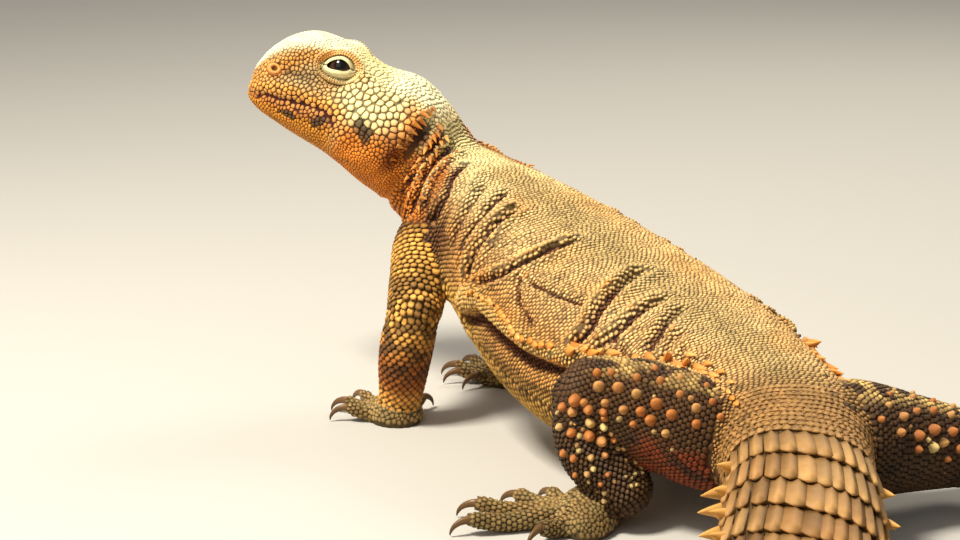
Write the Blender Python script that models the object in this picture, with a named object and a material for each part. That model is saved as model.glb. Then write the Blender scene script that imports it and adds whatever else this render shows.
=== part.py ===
# A life-size spiny-tailed lizard, standing with its head raised and turned to its left.
# Sizes are in millimetres until a mesh is made, and +Z is up. The trunk faces -Y and its left side is +X.

import bisect
import math
import random

import bmesh
import bpy
from mathutils import Matrix, Vector

MM = 0.001
GAP = 0.3  # between two nodes that touch
WELD = 0.02  # points this close are made one after a join or a cut
OVERLAP = 3.0  # how far a cutter runs past what it cuts
UP = Vector((0, 0, 1))

# The head is straight: its axis runs back from the tip of the snout, tilted nose up.
SNOUT_TIP = Vector((42.6, -156.6, 75.9))
HEAD_HEADING = 50.0  # degrees to the left of the trunk
HEAD_PITCH = 17.0
HEAD_LENGTH = 47.0
# Distance behind the snout, half width, height above the axis, depth below it.
HEAD_SECTIONS = (
    (0.8, 4.4, 6.2, 1.8),
    (2.5, 7.2, 10.2, 3.0),
    (5.5, 9.4, 14.2, 4.4),
    (9.0, 10.8, 17.0, 5.4),
    (13.0, 12.0, 18.6, 6.6),
    (18.0, 13.2, 18.6, 7.8),
    (23.0, 14.4, 18.0, 9.0),
    (28.0, 16.0, 16.4, 10.8),
    (34.0, 17.6, 15.4, 13.4),
    (40.0, 17.6, 14.8, 15.4),
    (44.0, 16.6, 12.0, 16.2),
    (47.0, 15.6, 9.6, 16.4),
)
# Neck, trunk and tail: centre x, y, z, half width, height above the centre, depth below it.
TRUNK_SECTIONS = (
    (6.2, -125.4, 57.4, 14.6, 8.2, 16.0),
    (4.4, -119.5, 53.2, 15.2, 9.6, 16.0),
    (4.5, -107.0, 46.6, 18.0, 14.4, 17.0),
    (3.0, -90.0, 40.0, 23.5, 16.0, 20.0),
    (2.5, -62.0, 31.0, 29.5, 16.8, 23.0),
    (2.5, -35.0, 25.0, 28.5, 16.0, 20.5),
    (2.5, -14.0, 22.0, 21.5, 14.0, 14.5),
    (6.0, 1.5, 20.0, 17.5, 12.6, 11.5),
    (15.0, 15.5, 17.5, 15.0, 11.0, 10.0),
)
TAIL_SECTIONS = (
    (27.0, 29.5, 15.5, 15.0, 9.0, 11.0),
    (46.0, 49.0, 13.0, 14.4, 7.0, 12.9),
    (65.0, 70.0, 11.2, 13.2, 6.4, 11.3),
    (81.0, 92.0, 9.6, 11.4, 5.6, 9.7),
    (93.0, 115.0, 7.8, 9.0, 4.6, 7.9),
    (101.0, 137.0, 5.4, 5.8, 3.4, 5.5),
    (103.0, 143.0, 4.0, 3.4, 2.4, 3.6),
)
BEND_REACH = 8.0  # a bend is spread over this length to either side
BODY_SQUARENESS = 2.4  # 2 is an ellipse
HEAD_SQUARENESS = 2.6

TAIL_BASE_ROLL = 10.0
TAIL_ROLL_PLACE = 225.0
TAIL_ROLL_REACH = 40.0

HEAD_SIDES = 26
BODY_SIDES = 24
NECK_END = 69.0  # distances behind the snout where nodes meet
FLANK_START = 160.0  # behind this the rings of the torso are further apart
TORSO_END = 204.6
TAIL_BASE_END = 258.7
TAIL_MIDDLE_END = 312.6


def head_direction():
    heading, pitch = math.radians(HEAD_HEADING), math.radians(HEAD_PITCH)
    level = math.cos(pitch)
    return Vector((math.sin(heading) * level, -math.cos(heading) * level, math.sin(pitch)))


def slope(knots, values, i):
    """How fast values change at knot i, from the knots on either side."""
    low, high = max(i - 1, 0), min(i + 1, len(knots) - 1)
    return (values[high] - values[low]) / (knots[high] - knots[low])


def smooth(knots, values, at):
    """The value of a smooth curve through the knots."""
    i = min(max(bisect.bisect_right(knots, at) - 1, 0), len(knots) - 2)
    span = knots[i + 1] - knots[i]
    t = (at - knots[i]) / span
    start, end = values[i], values[i + 1]
    leave, arrive = slope(knots, values, i) * span, slope(knots, values, i + 1) * span
    return (
        start * (2 * t**3 - 3 * t**2 + 1)
        + leave * (t**3 - 2 * t**2 + t)
        + end * (3 * t**2 - 2 * t**3)
        + arrive * (t**3 - t**2)
    )


class Line:
    """A smooth line through points, each with its own sizes, measured along its length."""

    def __init__(self, points, sizes, starts_at=0.0):
        self.points = points
        self.sizes = sizes
        self.knots = [starts_at]
        for before, after in zip(points, points[1:]):
            self.knots.append(self.knots[-1] + (after - before).length)

    @property
    def length(self):
        return self.knots[-1]

    def centre(self, at):
        return smooth(self.knots, self.points, at)

    def size(self, index, at):
        return smooth(self.knots, [row[index] for row in self.sizes], at)

    def forward(self, at, step=0.5):
        """Points back along the line, from a later place to an earlier one."""
        before, after = max(at - step, self.knots[0]), min(at + step, self.length)
        return (self.centre(before) - self.centre(after)).normalized()


def body_line():
    axis = head_direction()
    rows = [(SNOUT_TIP - axis * row[0], row[1:]) for row in HEAD_SECTIONS]
    rows += [(Vector(row[:3]), row[3:]) for row in TRUNK_SECTIONS + TAIL_SECTIONS]
    return Line([row[0] for row in rows], [row[1] for row in rows], HEAD_SECTIONS[0][0])


def bulge(value, width):
    return math.exp(-((value / width) ** 2))


def signed_power(value, power):
    return math.copysign(abs(value) ** power, value)


BODY = body_line()

# Folds of loose skin on the left side: height of a ridge or depth of a crease, its width, and the line it
# follows, as places behind the snout with angles round the body (0 left, 90 top).
SKIN_FOLDS = (
    (1.5, 1.9, ((49, 62), (51, 42), (56, 22), (60, 3), (61, -25), (60, -60))),
    (-1.5, 1.6, ((53, 80), (55, 58), (59, 38), (63, 20), (64.5, 0), (65, -28))),
    (1.3, 1.9, ((57, 82), (60, 58), (65, 34), (68.5, 15), (69, -5), (69, -35))),
    (-1.6, 1.7, ((66, 74), (70, 50), (74, 34), (75, 12), (73, -12))),
    (1.1, 2.2, ((73, 76), (78, 52), (81, 33), (82, 15))),
    (-1.6, 1.7, ((85, 72), (88, 50), (90, 27), (93, 6))),
    (0.9, 1.6, ((90, 68), (92, 47), (93, 26), (96, 6))),
    (-1.6, 1.7, ((93, 68), (95, 45), (97, 24), (99, 5))),
    (-1.7, 1.9, ((112, 80), (112.5, 62), (112, 45), (110, 30), (105, 12))),
    (-1.2, 1.7, ((115, 40), (120, 27), (129, 20))),
    (-1.2, 1.7, ((118, 41), (127, 46), (135, 52))),
    (-1.8, 2.0, ((131, 88), (135, 73), (139, 58), (143, 40), (143, 26))),
    (-1.5, 1.9, ((144, 84), (146, 68), (148.5, 50), (149, 32))),
    (-1.3, 1.8, ((150, 84), (155, 62), (158, 47))),
    (2.0, 2.6, ((99, -6), (108, 8), (119, 10), (131, 11), (143, 17), (153, 26))),
    (-1.8, 2.2, ((101, -18), (110, -3), (120, -1), (132, 0), (144, 6))),
)
MM_PER_DEGREE = 0.42  # along the skin of the trunk
RIGHT_SIDE_SHIFT = 1.6  # the right side's folds lie this much further back
RIGHT_SIDE_TOP = 58.0  # degrees up the right side where its folds end


def from_line(point, line):
    """The distance from a point to a line of points."""
    nearest = 1e9
    for start, end in zip(line, line[1:]):
        run = end - start
        t = min(1.0, max(0.0, (point - start).dot(run) / run.dot(run)))
        nearest = min(nearest, (point - start - run * t).length)
    return nearest


def unrolled(line):
    return [Vector((at, angle * MM_PER_DEGREE)) for at, angle in line]


FOLD_LINES = tuple((height, width, unrolled(line)) for height, width, line in SKIN_FOLDS)


def turned_from(angle, centre):
    """The angle between two directions round the body, from -180 to 180 degrees."""
    return (angle - centre + 180.0) % 360.0 - 180.0


def skin_relief(at, angle):
    """How far loose skin stands out from the plain body, in the neck and trunk."""
    relief = 0.0
    for centre, back in ((0.0, at), (180.0, at - RIGHT_SIDE_SHIFT)):
        off = turned_from(angle, centre)
        shown = 1.0
        if centre:
            off = -off
            shown = min(1.0, max(0.0, (RIGHT_SIDE_TOP - off) / 14.0))
        if abs(off) > 100:
            continue
        here = Vector((back, off * MM_PER_DEGREE))
        for height, width, line in FOLD_LINES:
            if min(p.x for p in line) - 3 * width < back < max(p.x for p in line) + 3 * width:
                relief += shown * height * bulge(from_line(here, line), width)
    return relief


# Forms of the head: place behind the snout, angle round it on the left side, height, widths along and round.
HEAD_FORMS = (
    (17.5, 54.0, 0.9, 9.0, 9.0),
    (20.5, 27.0, -2.3, 5.5, 12.0),
    (12.0, 30.0, -1.0, 3.5, 12.0),
    (34.0, 0.0, 1.0, 7.0, 22.0),
    (30.0, 75.0, -0.7, 6.0, 22.0),
    (26.8, -2.0, 0.8, 3.4, 9.0),
)


def head_relief(at, angle):
    relief = 0.0
    for place, centre, height, along, around in HEAD_FORMS:
        for side in (centre, 180.0 - centre):
            relief += height * bulge(at - place, along) * bulge(turned_from(angle, side), around)
    return relief


def body_roll(at):
    """Degrees by which the section's left side is raised."""
    return TAIL_BASE_ROLL * bulge(at - TAIL_ROLL_PLACE, TAIL_ROLL_REACH)


def body_frame(at):
    """Centre, left and up directions of the body's section at this place."""
    forward = BODY.forward(at, BEND_REACH)
    level_left = UP.cross(forward).normalized()
    level_up = forward.cross(level_left)
    roll = math.radians(body_roll(at))
    left = level_left * math.cos(roll) + level_up * math.sin(roll)
    return BODY.centre(at), left, forward.cross(left)


def body_point(at, angle, grow=0.0):
    """A point on the skin, moved outwards by grow."""
    centre, left, up = body_frame(at)
    squareness = HEAD_SQUARENESS if at < HEAD_LENGTH else BODY_SQUARENESS
    blend = min(1.0, abs(at - HEAD_LENGTH) / 8.0)
    middle = (HEAD_SQUARENESS + BODY_SQUARENESS) / 2
    power = 2.0 / (middle + (squareness - middle) * blend)
    turn = math.radians(angle)
    across, above = signed_power(math.cos(turn), power), signed_power(math.sin(turn), power)
    half, rise, drop = (BODY.size(i, at) for i in range(3))
    flat = left * (half * across) + up * ((rise if above > 0 else drop) * above)
    relief = head_relief(at, angle) * bulge(max(0.0, at - 40.0), 4.0)
    if HEAD_LENGTH < at < FLANK_START + 5:
        relief += skin_relief(at, angle) * (1 - bulge(at - HEAD_LENGTH, 3.0))
    outwards = left * math.cos(turn) + up * math.sin(turn)
    return centre + flat + outwards * (relief + grow)


def link(obj):
    bpy.context.scene.collection.objects.link(obj)
    return obj


def object_from(name, bm):
    bmesh.ops.recalc_face_normals(bm, faces=bm.faces)
    mesh = bpy.data.meshes.new(name)
    bm.to_mesh(mesh)
    bm.free()
    return link(bpy.data.objects.new(name, mesh))


def loft(name, rings, first_point=None, last_point=None):
    """A closed body through rings of points, each end either flat or drawn to a point."""
    bm = bmesh.new()
    loops = [[bm.verts.new(p * MM) for p in ring] for ring in rings]
    for before, after in zip(loops, loops[1:]):
        for i in range(len(before)):
            j = (i + 1) % len(before)
            bm.faces.new((before[i], before[j], after[j]))
            bm.faces.new((before[i], after[j], after[i]))
    for loop, point in ((loops[0], first_point), (loops[-1], last_point)):
        if point is None:
            bm.faces.new(loop)
            continue
        pole = bm.verts.new(point * MM)
        for i in range(len(loop)):
            bm.faces.new((loop[i], loop[(i + 1) % len(loop)], pole))
    return object_from(name, bm)


def settle(obj):
    """Applies the object's modifiers and keeps the largest closed surface."""
    graph = bpy.context.evaluated_depsgraph_get()
    mesh = bpy.data.meshes.new_from_object(obj.evaluated_get(graph))
    obj.modifiers.clear()
    old, obj.data = obj.data, mesh
    bpy.data.meshes.remove(old)
    keep_largest(obj)


def drop_small_islands(bm):
    """Leaves only the largest set of faces that are joined edge to edge."""
    left = set(bm.faces)
    islands = []
    while left:
        island, waiting = set(), [left.pop()]
        while waiting:
            face = waiting.pop()
            island.add(face)
            near = {other for edge in face.edges if len(edge.link_faces) == 2 for other in edge.link_faces}
            near &= left
            left -= near
            waiting.extend(near)
        islands.append(island)
    largest = max(islands, key=len)
    bmesh.ops.delete(bm, geom=[face for face in bm.faces if face not in largest], context="FACES")


def keep_largest(obj):
    """Removes slivers that a Boolean leaves, and welds what nearly meets."""
    bm = bmesh.new()
    bm.from_mesh(obj.data)
    drop_small_islands(bm)
    bmesh.ops.remove_doubles(bm, verts=bm.verts, dist=WELD * MM)
    bmesh.ops.dissolve_degenerate(bm, edges=bm.edges, dist=WELD * MM)
    drop_small_islands(bm)
    bm.to_mesh(obj.data)
    bm.free()


def combine(obj, others, operation, solver="MANIFOLD"):
    """One Boolean of obj with a collection of closed meshes, which are then removed."""
    if not others:
        return obj
    group = bpy.data.collections.new("operands")
    bpy.context.scene.collection.children.link(group)
    for other in others:
        group.objects.link(other)
        bpy.context.scene.collection.objects.unlink(other)
    boolean = obj.modifiers.new(operation.lower(), "BOOLEAN")
    boolean.operation = operation
    boolean.operand_type = "COLLECTION"
    boolean.collection = group
    boolean.solver = solver
    bpy.context.view_layer.update()
    settle(obj)
    for other in others:
        bpy.data.objects.remove(other)
    bpy.data.collections.remove(group)
    return obj


def fuse(obj, pieces, solver="MANIFOLD"):
    return combine(obj, pieces, "UNION", solver)


def carve(obj, cutters, solver="MANIFOLD"):
    return combine(obj, cutters, "DIFFERENCE", solver)


def body_ring(at, sides, grow=0.0):
    return [body_point(at, 360.0 * i / sides, grow) for i in range(sides)]


def places(start, end, spacing):
    """Evenly spaced places from start to end, both kept."""
    count = max(1, round((end - start) / spacing))
    return [start + (end - start) * i / count for i in range(count + 1)]


HALF_GAP = GAP / 2


def neck_places():
    return places(HEAD_LENGTH + GAP, NECK_END - HALF_GAP, 1.8)


def torso_places():
    front = places(NECK_END + HALF_GAP, FLANK_START, 2.8)
    return front + places(FLANK_START, TORSO_END - HALF_GAP, 3.6)[1:]


def body_span(name, stations, grow=0.0):
    """The body through rings at these places, or a cutter that is larger than it all round by grow."""
    if grow:
        stations = [stations[0] - grow] + stations + [stations[-1] + grow]
    return loft(name, [body_ring(at, BODY_SIDES, grow) for at in stations])


def cone(centre, direction, radius, length, sides=5):
    """A spine whose root is sunk in and whose tip points along the direction."""
    direction = direction.normalized()
    turn = UP.rotation_difference(direction)
    root = centre - direction * (0.5 * radius)
    ring = []
    for i in range(sides):
        around = 2 * math.pi * i / sides
        ring.append(root + turn @ Vector((radius * math.cos(around), radius * math.sin(around), 0)))
    return loft("spine", [ring], last_point=centre + direction * length)


def dome(centre, direction, radius, height, sides=5):
    """A rounded cone whose root is sunk in."""
    direction = direction.normalized()
    turn = UP.rotation_difference(direction)
    rings = []
    for reach, above in ((1.0, -0.5 * radius), (0.62, 0.62 * height)):
        ring = []
        for i in range(sides):
            around = 2 * math.pi * i / sides
            flat = Vector((math.cos(around), math.sin(around), 0)) * (radius * reach)
            ring.append(centre + turn @ (flat + UP * above))
        rings.append(ring)
    return loft("tubercle", rings, last_point=centre + direction * height)


# Materials

COLOURS = {
    "skin_orange": ((0.72, 0.40, 0.17), 0.62),
    "skin_pale": ((0.80, 0.62, 0.38), 0.60),
    "skin_brown": ((0.36, 0.22, 0.13), 0.65),
    "tail_scales": ((0.74, 0.53, 0.30), 0.58),
    "claw_horn": ((0.24, 0.16, 0.10), 0.40),
    "eyeball": ((0.05, 0.035, 0.03), 0.12),
}


def paint(obj, name):
    found = bpy.data.materials.get(name)
    if found is None:
        found = bpy.data.materials.new(name)
        found.use_nodes = True
        surface = found.node_tree.nodes["Principled BSDF"]
        colour, roughness = COLOURS[name]
        surface.inputs["Base Color"].default_value = (*colour, 1)
        surface.inputs["Roughness"].default_value = roughness
        surface.inputs["Metallic"].default_value = 0.0
    obj.data.materials.clear()
    obj.data.materials.append(found)
    obj.data.shade_smooth()
    obj.data.set_sharp_from_angle(angle=math.radians(40))
    return obj


# Head

HEAD_SPACING = 2.4
EYE = (21.8, 9.2, 13.4)  # behind the snout, out from the middle, above the axis
EYE_RADIUS = 3.3
LID_RADII = (4.9, 4.3, 4.1)  # along the head, out and up
LID_OPENING = (2.9, 1.6)  # half length and half height
MOUTH_LINE = (
    (24.6, 0.2),
    (22.5, 0.8),
    (19.0, 1.1),
    (13.0, 1.0),
    (8.0, 0.6),
    (4.0, 0.0),
    (2.0, -0.4),
)
MOUTH_FRONT = ((0.9, 4.2), (0.2, 2.4), (-0.1, 0.0))
MOUTH_DEPTH = 1.2
MOUTH_HALF_GAPE = 0.45
NOSTRIL = (6.0, 34.0)  # behind the snout, angle round the head
NOSTRIL_RIM = 1.7
NOSTRIL_HOLE = 0.7
EAR = (43.6, 30.0)
EAR_RADII = (1.5, 1.6, 3.6)
EAR_FRINGE = ((41.9, 50), (41.8, 39), (41.6, 28), (41.3, 17), (40.8, 6))


def head_basis():
    axis = head_direction()
    left = UP.cross(axis).normalized()
    return axis, left, axis.cross(left)


def head_place(back, out, above):
    """A place in the head: behind the snout, to the left of the middle, above the axis."""
    axis, left, up = head_basis()
    return SNOUT_TIP - axis * back + left * out + up * above


def mirrored(angle, side):
    return angle if side > 0 else 180.0 - angle


def outwards_at(at, angle):
    return (body_point(at, angle, 1.0) - body_point(at, angle)).normalized()


def eye_centre(side):
    back, out, above = EYE
    return head_place(back, out * side, above)


def ball(name, centre, radii, segments=12, rings=8):
    """An ellipsoid whose radii lie along the head's axis, across it and above it."""
    bm = bmesh.new()
    bmesh.ops.create_uvsphere(bm, u_segments=segments, v_segments=rings, radius=1.0)
    bmesh.ops.scale(bm, vec=[r * MM for r in radii], verts=bm.verts)
    turn = Matrix(head_basis()).transposed()
    bmesh.ops.rotate(bm, matrix=turn, verts=bm.verts)
    bmesh.ops.translate(bm, vec=centre * MM, verts=bm.verts)
    return object_from(name, bm)


def eye_direction(side):
    axis, left, up = head_basis()
    return (left * side + axis * 0.12 + up * 0.15).normalized()


def lid_opening(side):
    """An almond-shaped cutter through the lids."""
    axis, left, up = head_basis()
    out = eye_direction(side)
    along = (axis - out * axis.dot(out)).normalized()
    above = out.cross(along) * side
    half_length, half_height = LID_OPENING
    outline = []
    for i in range(12):
        turn = 2 * math.pi * i / 12
        high = math.copysign(abs(math.sin(turn)) ** 1.4, math.sin(turn)) * half_height
        outline.append(along * (math.cos(turn) * half_length) + above * high)
    centre = eye_centre(side)
    depths = (0.5, EYE_RADIUS + OVERLAP)
    return loft("lid_opening", [[centre + out * depth + p for p in outline] for depth in depths])


def skin_beside(back, above, side):
    """The skin's place at this height above the head's axis, found by halving."""
    up = head_basis()[2]
    low, high = -70.0, 70.0
    for _ in range(20):
        angle = (low + high) / 2
        place = body_point(back, mirrored(angle, side))
        if (place - SNOUT_TIP).dot(up) < above:
            low = angle
        else:
            high = angle
    return place


def mouth_cutter():
    """A wedge that follows the gap between the lips, from one corner round the snout to the other."""
    axis, left, up = head_basis()
    path = [skin_beside(back, above, 1) for back, above in MOUTH_LINE]
    front = [head_place(back, out, -0.5) for back, out in MOUTH_FRONT]
    front += [head_place(back, -out, -0.5) for back, out in MOUTH_FRONT[-2::-1]]
    path += front + [skin_beside(back, above, -1) for back, above in MOUTH_LINE[::-1]]
    rings = []
    for i, place in enumerate(path):
        run = path[min(i + 1, len(path) - 1)] - path[max(i - 1, 0)]
        out = run.cross(up).normalized() * -1
        gape = up * MOUTH_HALF_GAPE
        inner = place - out * MOUTH_DEPTH
        outer = place + out * OVERLAP * 0.5
        rings.append([outer + gape, outer - gape, inner - gape * 0.25, inner + gape * 0.25])
    return loft("mouth_cutter", rings)


def make_head():
    rings = [body_ring(at, HEAD_SIDES) for at in places(HEAD_SECTIONS[0][0], HEAD_LENGTH, HEAD_SPACING)]
    head = loft("head", rings, first_point=SNOUT_TIP)
    axis = head_direction()
    added, cut = [], [mouth_cutter()]
    for side in (1, -1):
        eye = eye_centre(side)
        added.append(ball("lid", eye, LID_RADII))
        cut += [ball("socket", eye, [EYE_RADIUS + GAP] * 3), lid_opening(side)]
        nostril_at, nostril_angle = NOSTRIL[0], mirrored(NOSTRIL[1], side)
        nostril, out = body_point(nostril_at, nostril_angle), outwards_at(nostril_at, nostril_angle)
        added.append(ball("nostril_rim", nostril - out * 0.8, [NOSTRIL_RIM] * 3, 8, 6))
        cut.append(ball("nostril_hole", nostril + out * 0.6, [NOSTRIL_HOLE, 1.6, NOSTRIL_HOLE], 8, 6))
        cut.append(ball("ear", body_point(EAR[0], mirrored(EAR[1], side)), EAR_RADII, 8, 8))
        for place, angle in EAR_FRINGE:
            turned = mirrored(angle, side)
            tip = outwards_at(place, turned) * 0.8 - axis
            added.append(cone(body_point(place, turned), tip, 0.85, 1.9))
    fuse(head, added)
    carve(head, cut)
    paint(head, "skin_pale")
    for side, name in ((1, "eye_left"), (-1, "eye_right")):
        paint(ball(name, eye_centre(side), [EYE_RADIUS] * 3), "eyeball")


# Limbs


class Limb:
    """A round limb segment along points, with a radius at each and rounded ends."""

    def __init__(self, name, rows, sides):
        self.name = name
        self.line = Line([Vector(row[:3]) for row in rows], [(row[3],) for row in rows])
        self.sides = sides
        run = self.line.points[-1] - self.line.points[0]
        axes = (Vector((0, 0, 1)), Vector((0, 1, 0)), Vector((1, 0, 0)))
        self.reference = min(axes, key=lambda axis: abs(axis.dot(run)))

    def frame(self, at):
        back = self.line.forward(at)
        across = back.cross(self.reference).normalized()
        return self.line.centre(at), across, across.cross(back)

    def point(self, at, angle, grow=0.0):
        centre, across, above = self.frame(at)
        turn = math.radians(angle)
        reach = self.line.size(0, at) + grow
        return centre + (across * math.cos(turn) + above * math.sin(turn)) * reach

    def outwards(self, at, angle):
        return (self.point(at, angle, 1.0) - self.point(at, angle)).normalized()

    def cap(self, at, beyond, grow):
        """Two shrinking rings and a pole that round off an end of the limb."""
        centre, across, above = self.frame(at)
        away = self.line.forward(at) * (-1 if beyond else 1)
        reach = self.line.size(0, at) + grow
        rings = []
        for turn in (math.radians(35), math.radians(65)):
            middle = centre + away * (reach * 0.8 * math.sin(turn))
            spread = reach * math.cos(turn)
            rings.append(
                [
                    middle
                    + (across * math.cos(a) + above * math.sin(a)) * spread
                    for a in (2 * math.pi * i / self.sides for i in range(self.sides))
                ]
            )
        return rings, centre + away * (reach * 0.8)

    def build(self, grow=0.0, name=None, spacing=5.0):
        before, first = self.cap(0.0, False, grow)
        after, last = self.cap(self.line.length, True, grow)
        rings = [
            [self.point(at, 360.0 * i / self.sides, grow) for i in range(self.sides)]
            for at in places(0.0, self.line.length, spacing)
        ]
        return loft(name or self.name, before[::-1] + rings + after, first, last)


# Each limb segment's points, from the body outwards: x, y, z and radius.
LIMBS = {
    "upper_arm_left": (
        (8, -114, 44, 9.0),
        (19, -111, 41.5, 8.2),
        (26, -105, 35, 7.0),
        (30, -101, 29.5, 6.4),
    ),
    "forearm_left": ((30, -101, 30, 6.0), (31.5, -103, 18, 6.1), (31, -106, 7, 5.0)),
    "upper_arm_right": (
        (1, -115, 44, 9.0),
        (-8, -115, 40.5, 8.2),
        (-15.5, -112, 34.5, 7.2),
        (-19, -108, 29, 6.4),
    ),
    "forearm_right": ((-19, -108, 29.5, 6.0), (-16.5, -112, 17, 6.1), (-10, -116.5, 7, 5.0)),
    "thigh_left": (
        (8, -2, 20, 11.5),
        (17, -9, 21, 12.0),
        (26, -20, 24.5, 10.6),
        (34, -27.5, 27, 8.6),
    ),
    "shank_left": ((34, -28, 27, 8.0), (34.5, -25.5, 17, 8.0), (31.5, -19, 8.0, 6.0)),
    "thigh_right": (
        (0, 2, 19, 12.0),
        (-10, 5, 18.2, 12.4),
        (-24, 8, 15.5, 10.2),
        (-37, 10, 12.5, 8.2),
    ),
    "shank_right": ((-37, 10, 12.5, 8.0), (-41, 21, 10.5, 7.6), (-42, 32, 7.5, 5.6)),
}
LIMB_SIDES = 12
LIMB_SHAPES = {name: Limb(name, rows, LIMB_SIDES) for name, rows in LIMBS.items()}


# Feet: where the palm is, the heading of each toe from the thumb outwards in degrees to the left of the
# trunk, and each toe's length from the palm's middle to the claw.
class Foot:
    def __init__(self, name, ankle, palm, palm_heading, palm_size, headings, lengths, toe_radius):
        self.name = name
        self.ankle = Vector(ankle)
        self.palm = Vector(palm)
        self.palm_heading = palm_heading
        self.palm_size = palm_size
        self.headings = headings
        self.lengths = lengths
        self.toe_radius = toe_radius


FORE_TOE_LENGTHS = (9.0, 11.5, 13.0, 12.5, 11.0)
HIND_TOE_LENGTHS = (12.0, 16.5, 23.0, 25.0, 15.0)
FEET = (
    Foot(
        "hand_left", (31, -106, 7), (31.5, -107.5, 0), 20, (6.2, 6.4, 5.6),
        (-74, -28, 4, 32, 58), FORE_TOE_LENGTHS, 1.9,
    ),
    Foot(
        "hand_right", (-10, -116.5, 7), (-9, -118, 0), -5, (6.2, 6.4, 5.6),
        (90, 62, 36, 8, -40), FORE_TOE_LENGTHS, 1.9,
    ),
    Foot(
        "foot_left", (31, -20, 8), (36.5, -25, 0), 50, (11.0, 6.2, 6.0),
        (2, 24, 47, 70, 104), HIND_TOE_LENGTHS, 2.2,
    ),
    Foot(
        "foot_right", (-42, 32, 7.5), (-48.5, 30, 0), -75, (11.0, 6.2, 6.0),
        (-28, -48, -70, -92, -124), HIND_TOE_LENGTHS, 2.2,
    ),
)
TOE_SIDES = 6
TOE_TIP_RISE = 4.6  # height of a toe's end, from which the claw arches down
CLAW_LENGTH = 5.2
CLAW_ROOT = 1.25
CLAW_SIDES = 5


def heading_vector(degrees):
    turn = math.radians(degrees)
    return Vector((math.sin(turn), -math.cos(turn), 0))


def toe_points(foot, i):
    """The toe's centreline from inside the palm to the root of its claw, with its radius."""
    away = heading_vector(foot.headings[i])
    r = foot.toe_radius
    reach = foot.lengths[i]
    start = foot.palm + away * 2.0
    return (
        (start + UP * 2.6, r * 1.05),
        (foot.palm + away * (reach * 0.42) + UP * 2.5, r),
        (foot.palm + away * (reach * 0.74) + UP * 2.2, r * 0.92),
        (foot.palm + away * reach + UP * (TOE_TIP_RISE - 1.2), r * 0.80),
    )


def make_toe(foot, i):
    rows = toe_points(foot, i)
    line = Line([row[0] for row in rows], [(row[1],) for row in rows])
    rings = []
    for at in places(0.0, line.length, line.length / 3):
        back = line.forward(at)
        across = UP.cross(back).normalized()
        above = back.cross(across)
        radius = line.size(0, at)
        rings.append(
            [
                line.centre(at) + (across * math.cos(a) + above * math.sin(a)) * radius
                for a in (2 * math.pi * j / TOE_SIDES for j in range(TOE_SIDES))
            ]
        )
    return loft("toe", rings)


def make_claw(foot, i):
    """A claw that arches forwards and down from the toe's end to just above the floor."""
    rows = toe_points(foot, i)
    line = Line([row[0] for row in rows], [(row[1],) for row in rows])
    out = -line.forward(line.length)
    start = line.centre(line.length) + out * GAP
    level = heading_vector(foot.headings[i])
    sink = start.z - 0.4
    rings = []
    steps = 3
    for step in range(steps):
        t = step / steps
        place = start + level * (CLAW_LENGTH * math.sin(t * math.pi / 2)) + UP * (out.z * 2.2 * t)
        place.z -= (sink + out.z * 2.2) * (1 - math.cos(t * math.pi / 2))
        across = UP.cross(level).normalized()
        lean = math.pi / 2 * t
        facing = level * math.cos(lean) - UP * math.sin(lean) if step else out
        above = facing.cross(across).normalized() * -1
        width = CLAW_ROOT * 0.72 * (1 - t) ** 0.8 + 0.12
        height = CLAW_ROOT * (1 - t) ** 0.8 + 0.12
        rings.append(
            [
                place + across * (width * math.cos(a)) + above * (height * math.sin(a))
                for a in (2 * math.pi * j / CLAW_SIDES for j in range(CLAW_SIDES))
            ]
        )
    tip = start + level * CLAW_LENGTH
    tip.z = 0.25
    return paint(loft(f"claw_{foot.name}_{i + 1}", rings, last_point=tip), "claw_horn")


def floor_block():
    """Everything under the floor, to cut soles and belly flat at one level."""
    size = 400.0
    bm = bmesh.new()
    bmesh.ops.create_cube(bm, size=size * MM)
    bmesh.ops.translate(bm, vec=(0, 0, -size / 2 * MM), verts=bm.verts)
    return object_from("floor_block", bm)


def make_foot(foot, cutters):
    length, width, height = foot.palm_size
    turn = Matrix.Rotation(math.radians(foot.palm_heading), 4, "Z")
    bm = bmesh.new()
    bmesh.ops.create_uvsphere(bm, u_segments=14, v_segments=8, radius=1.0)
    bmesh.ops.scale(bm, vec=(width * MM, length * MM, height * MM), verts=bm.verts)
    bmesh.ops.rotate(bm, matrix=turn.to_3x3(), verts=bm.verts)
    middle = foot.palm + UP * 1.6
    bmesh.ops.translate(bm, vec=middle * MM, verts=bm.verts)
    palm = object_from(foot.name, bm)
    fuse(palm, [make_toe(foot, i) for i in range(5)])
    carve(palm, cutters + [floor_block()])
    paint(palm, "skin_brown")
    for i in range(5):
        make_claw(foot, i)


# Tubercles stand in rows along the hind legs: rows of (angle round the limb, first place, spacing, radius).
TUBERCLE_ROWS = {
    "thigh_left": ((60, 12, 6.0, 1.8), (28, 14, 5.6, 1.9), (-5, 13, 5.8, 1.8)),
    "shank_left": ((20, 3, 5.2, 1.6), (-20, 5, 5.2, 1.6)),
    "thigh_right": ((60, 12, 6.0, 1.8), (28, 14, 5.6, 1.9), (-5, 13, 5.8, 1.8)),
    "shank_right": ((20, 3, 5.2, 1.6), (-20, 5, 5.2, 1.6)),
}
TUBERCLE_END = 4.0  # none stand this near the next joint


def make_tubercles(limb, rng):
    domes = []
    for angle, first, spacing, radius in TUBERCLE_ROWS.get(limb.name, ()):
        place = first
        while place < limb.line.length - TUBERCLE_END:
            turned = angle + rng.uniform(-5, 5)
            at = place + rng.uniform(-0.6, 0.6)
            size = radius * rng.uniform(0.82, 1.12)
            out = limb.outwards(at, turned) - limb.line.forward(at) * 0.25
            domes.append(dome(limb.point(at, turned), out, size, size * 1.15))
            place += spacing
    return domes


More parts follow.
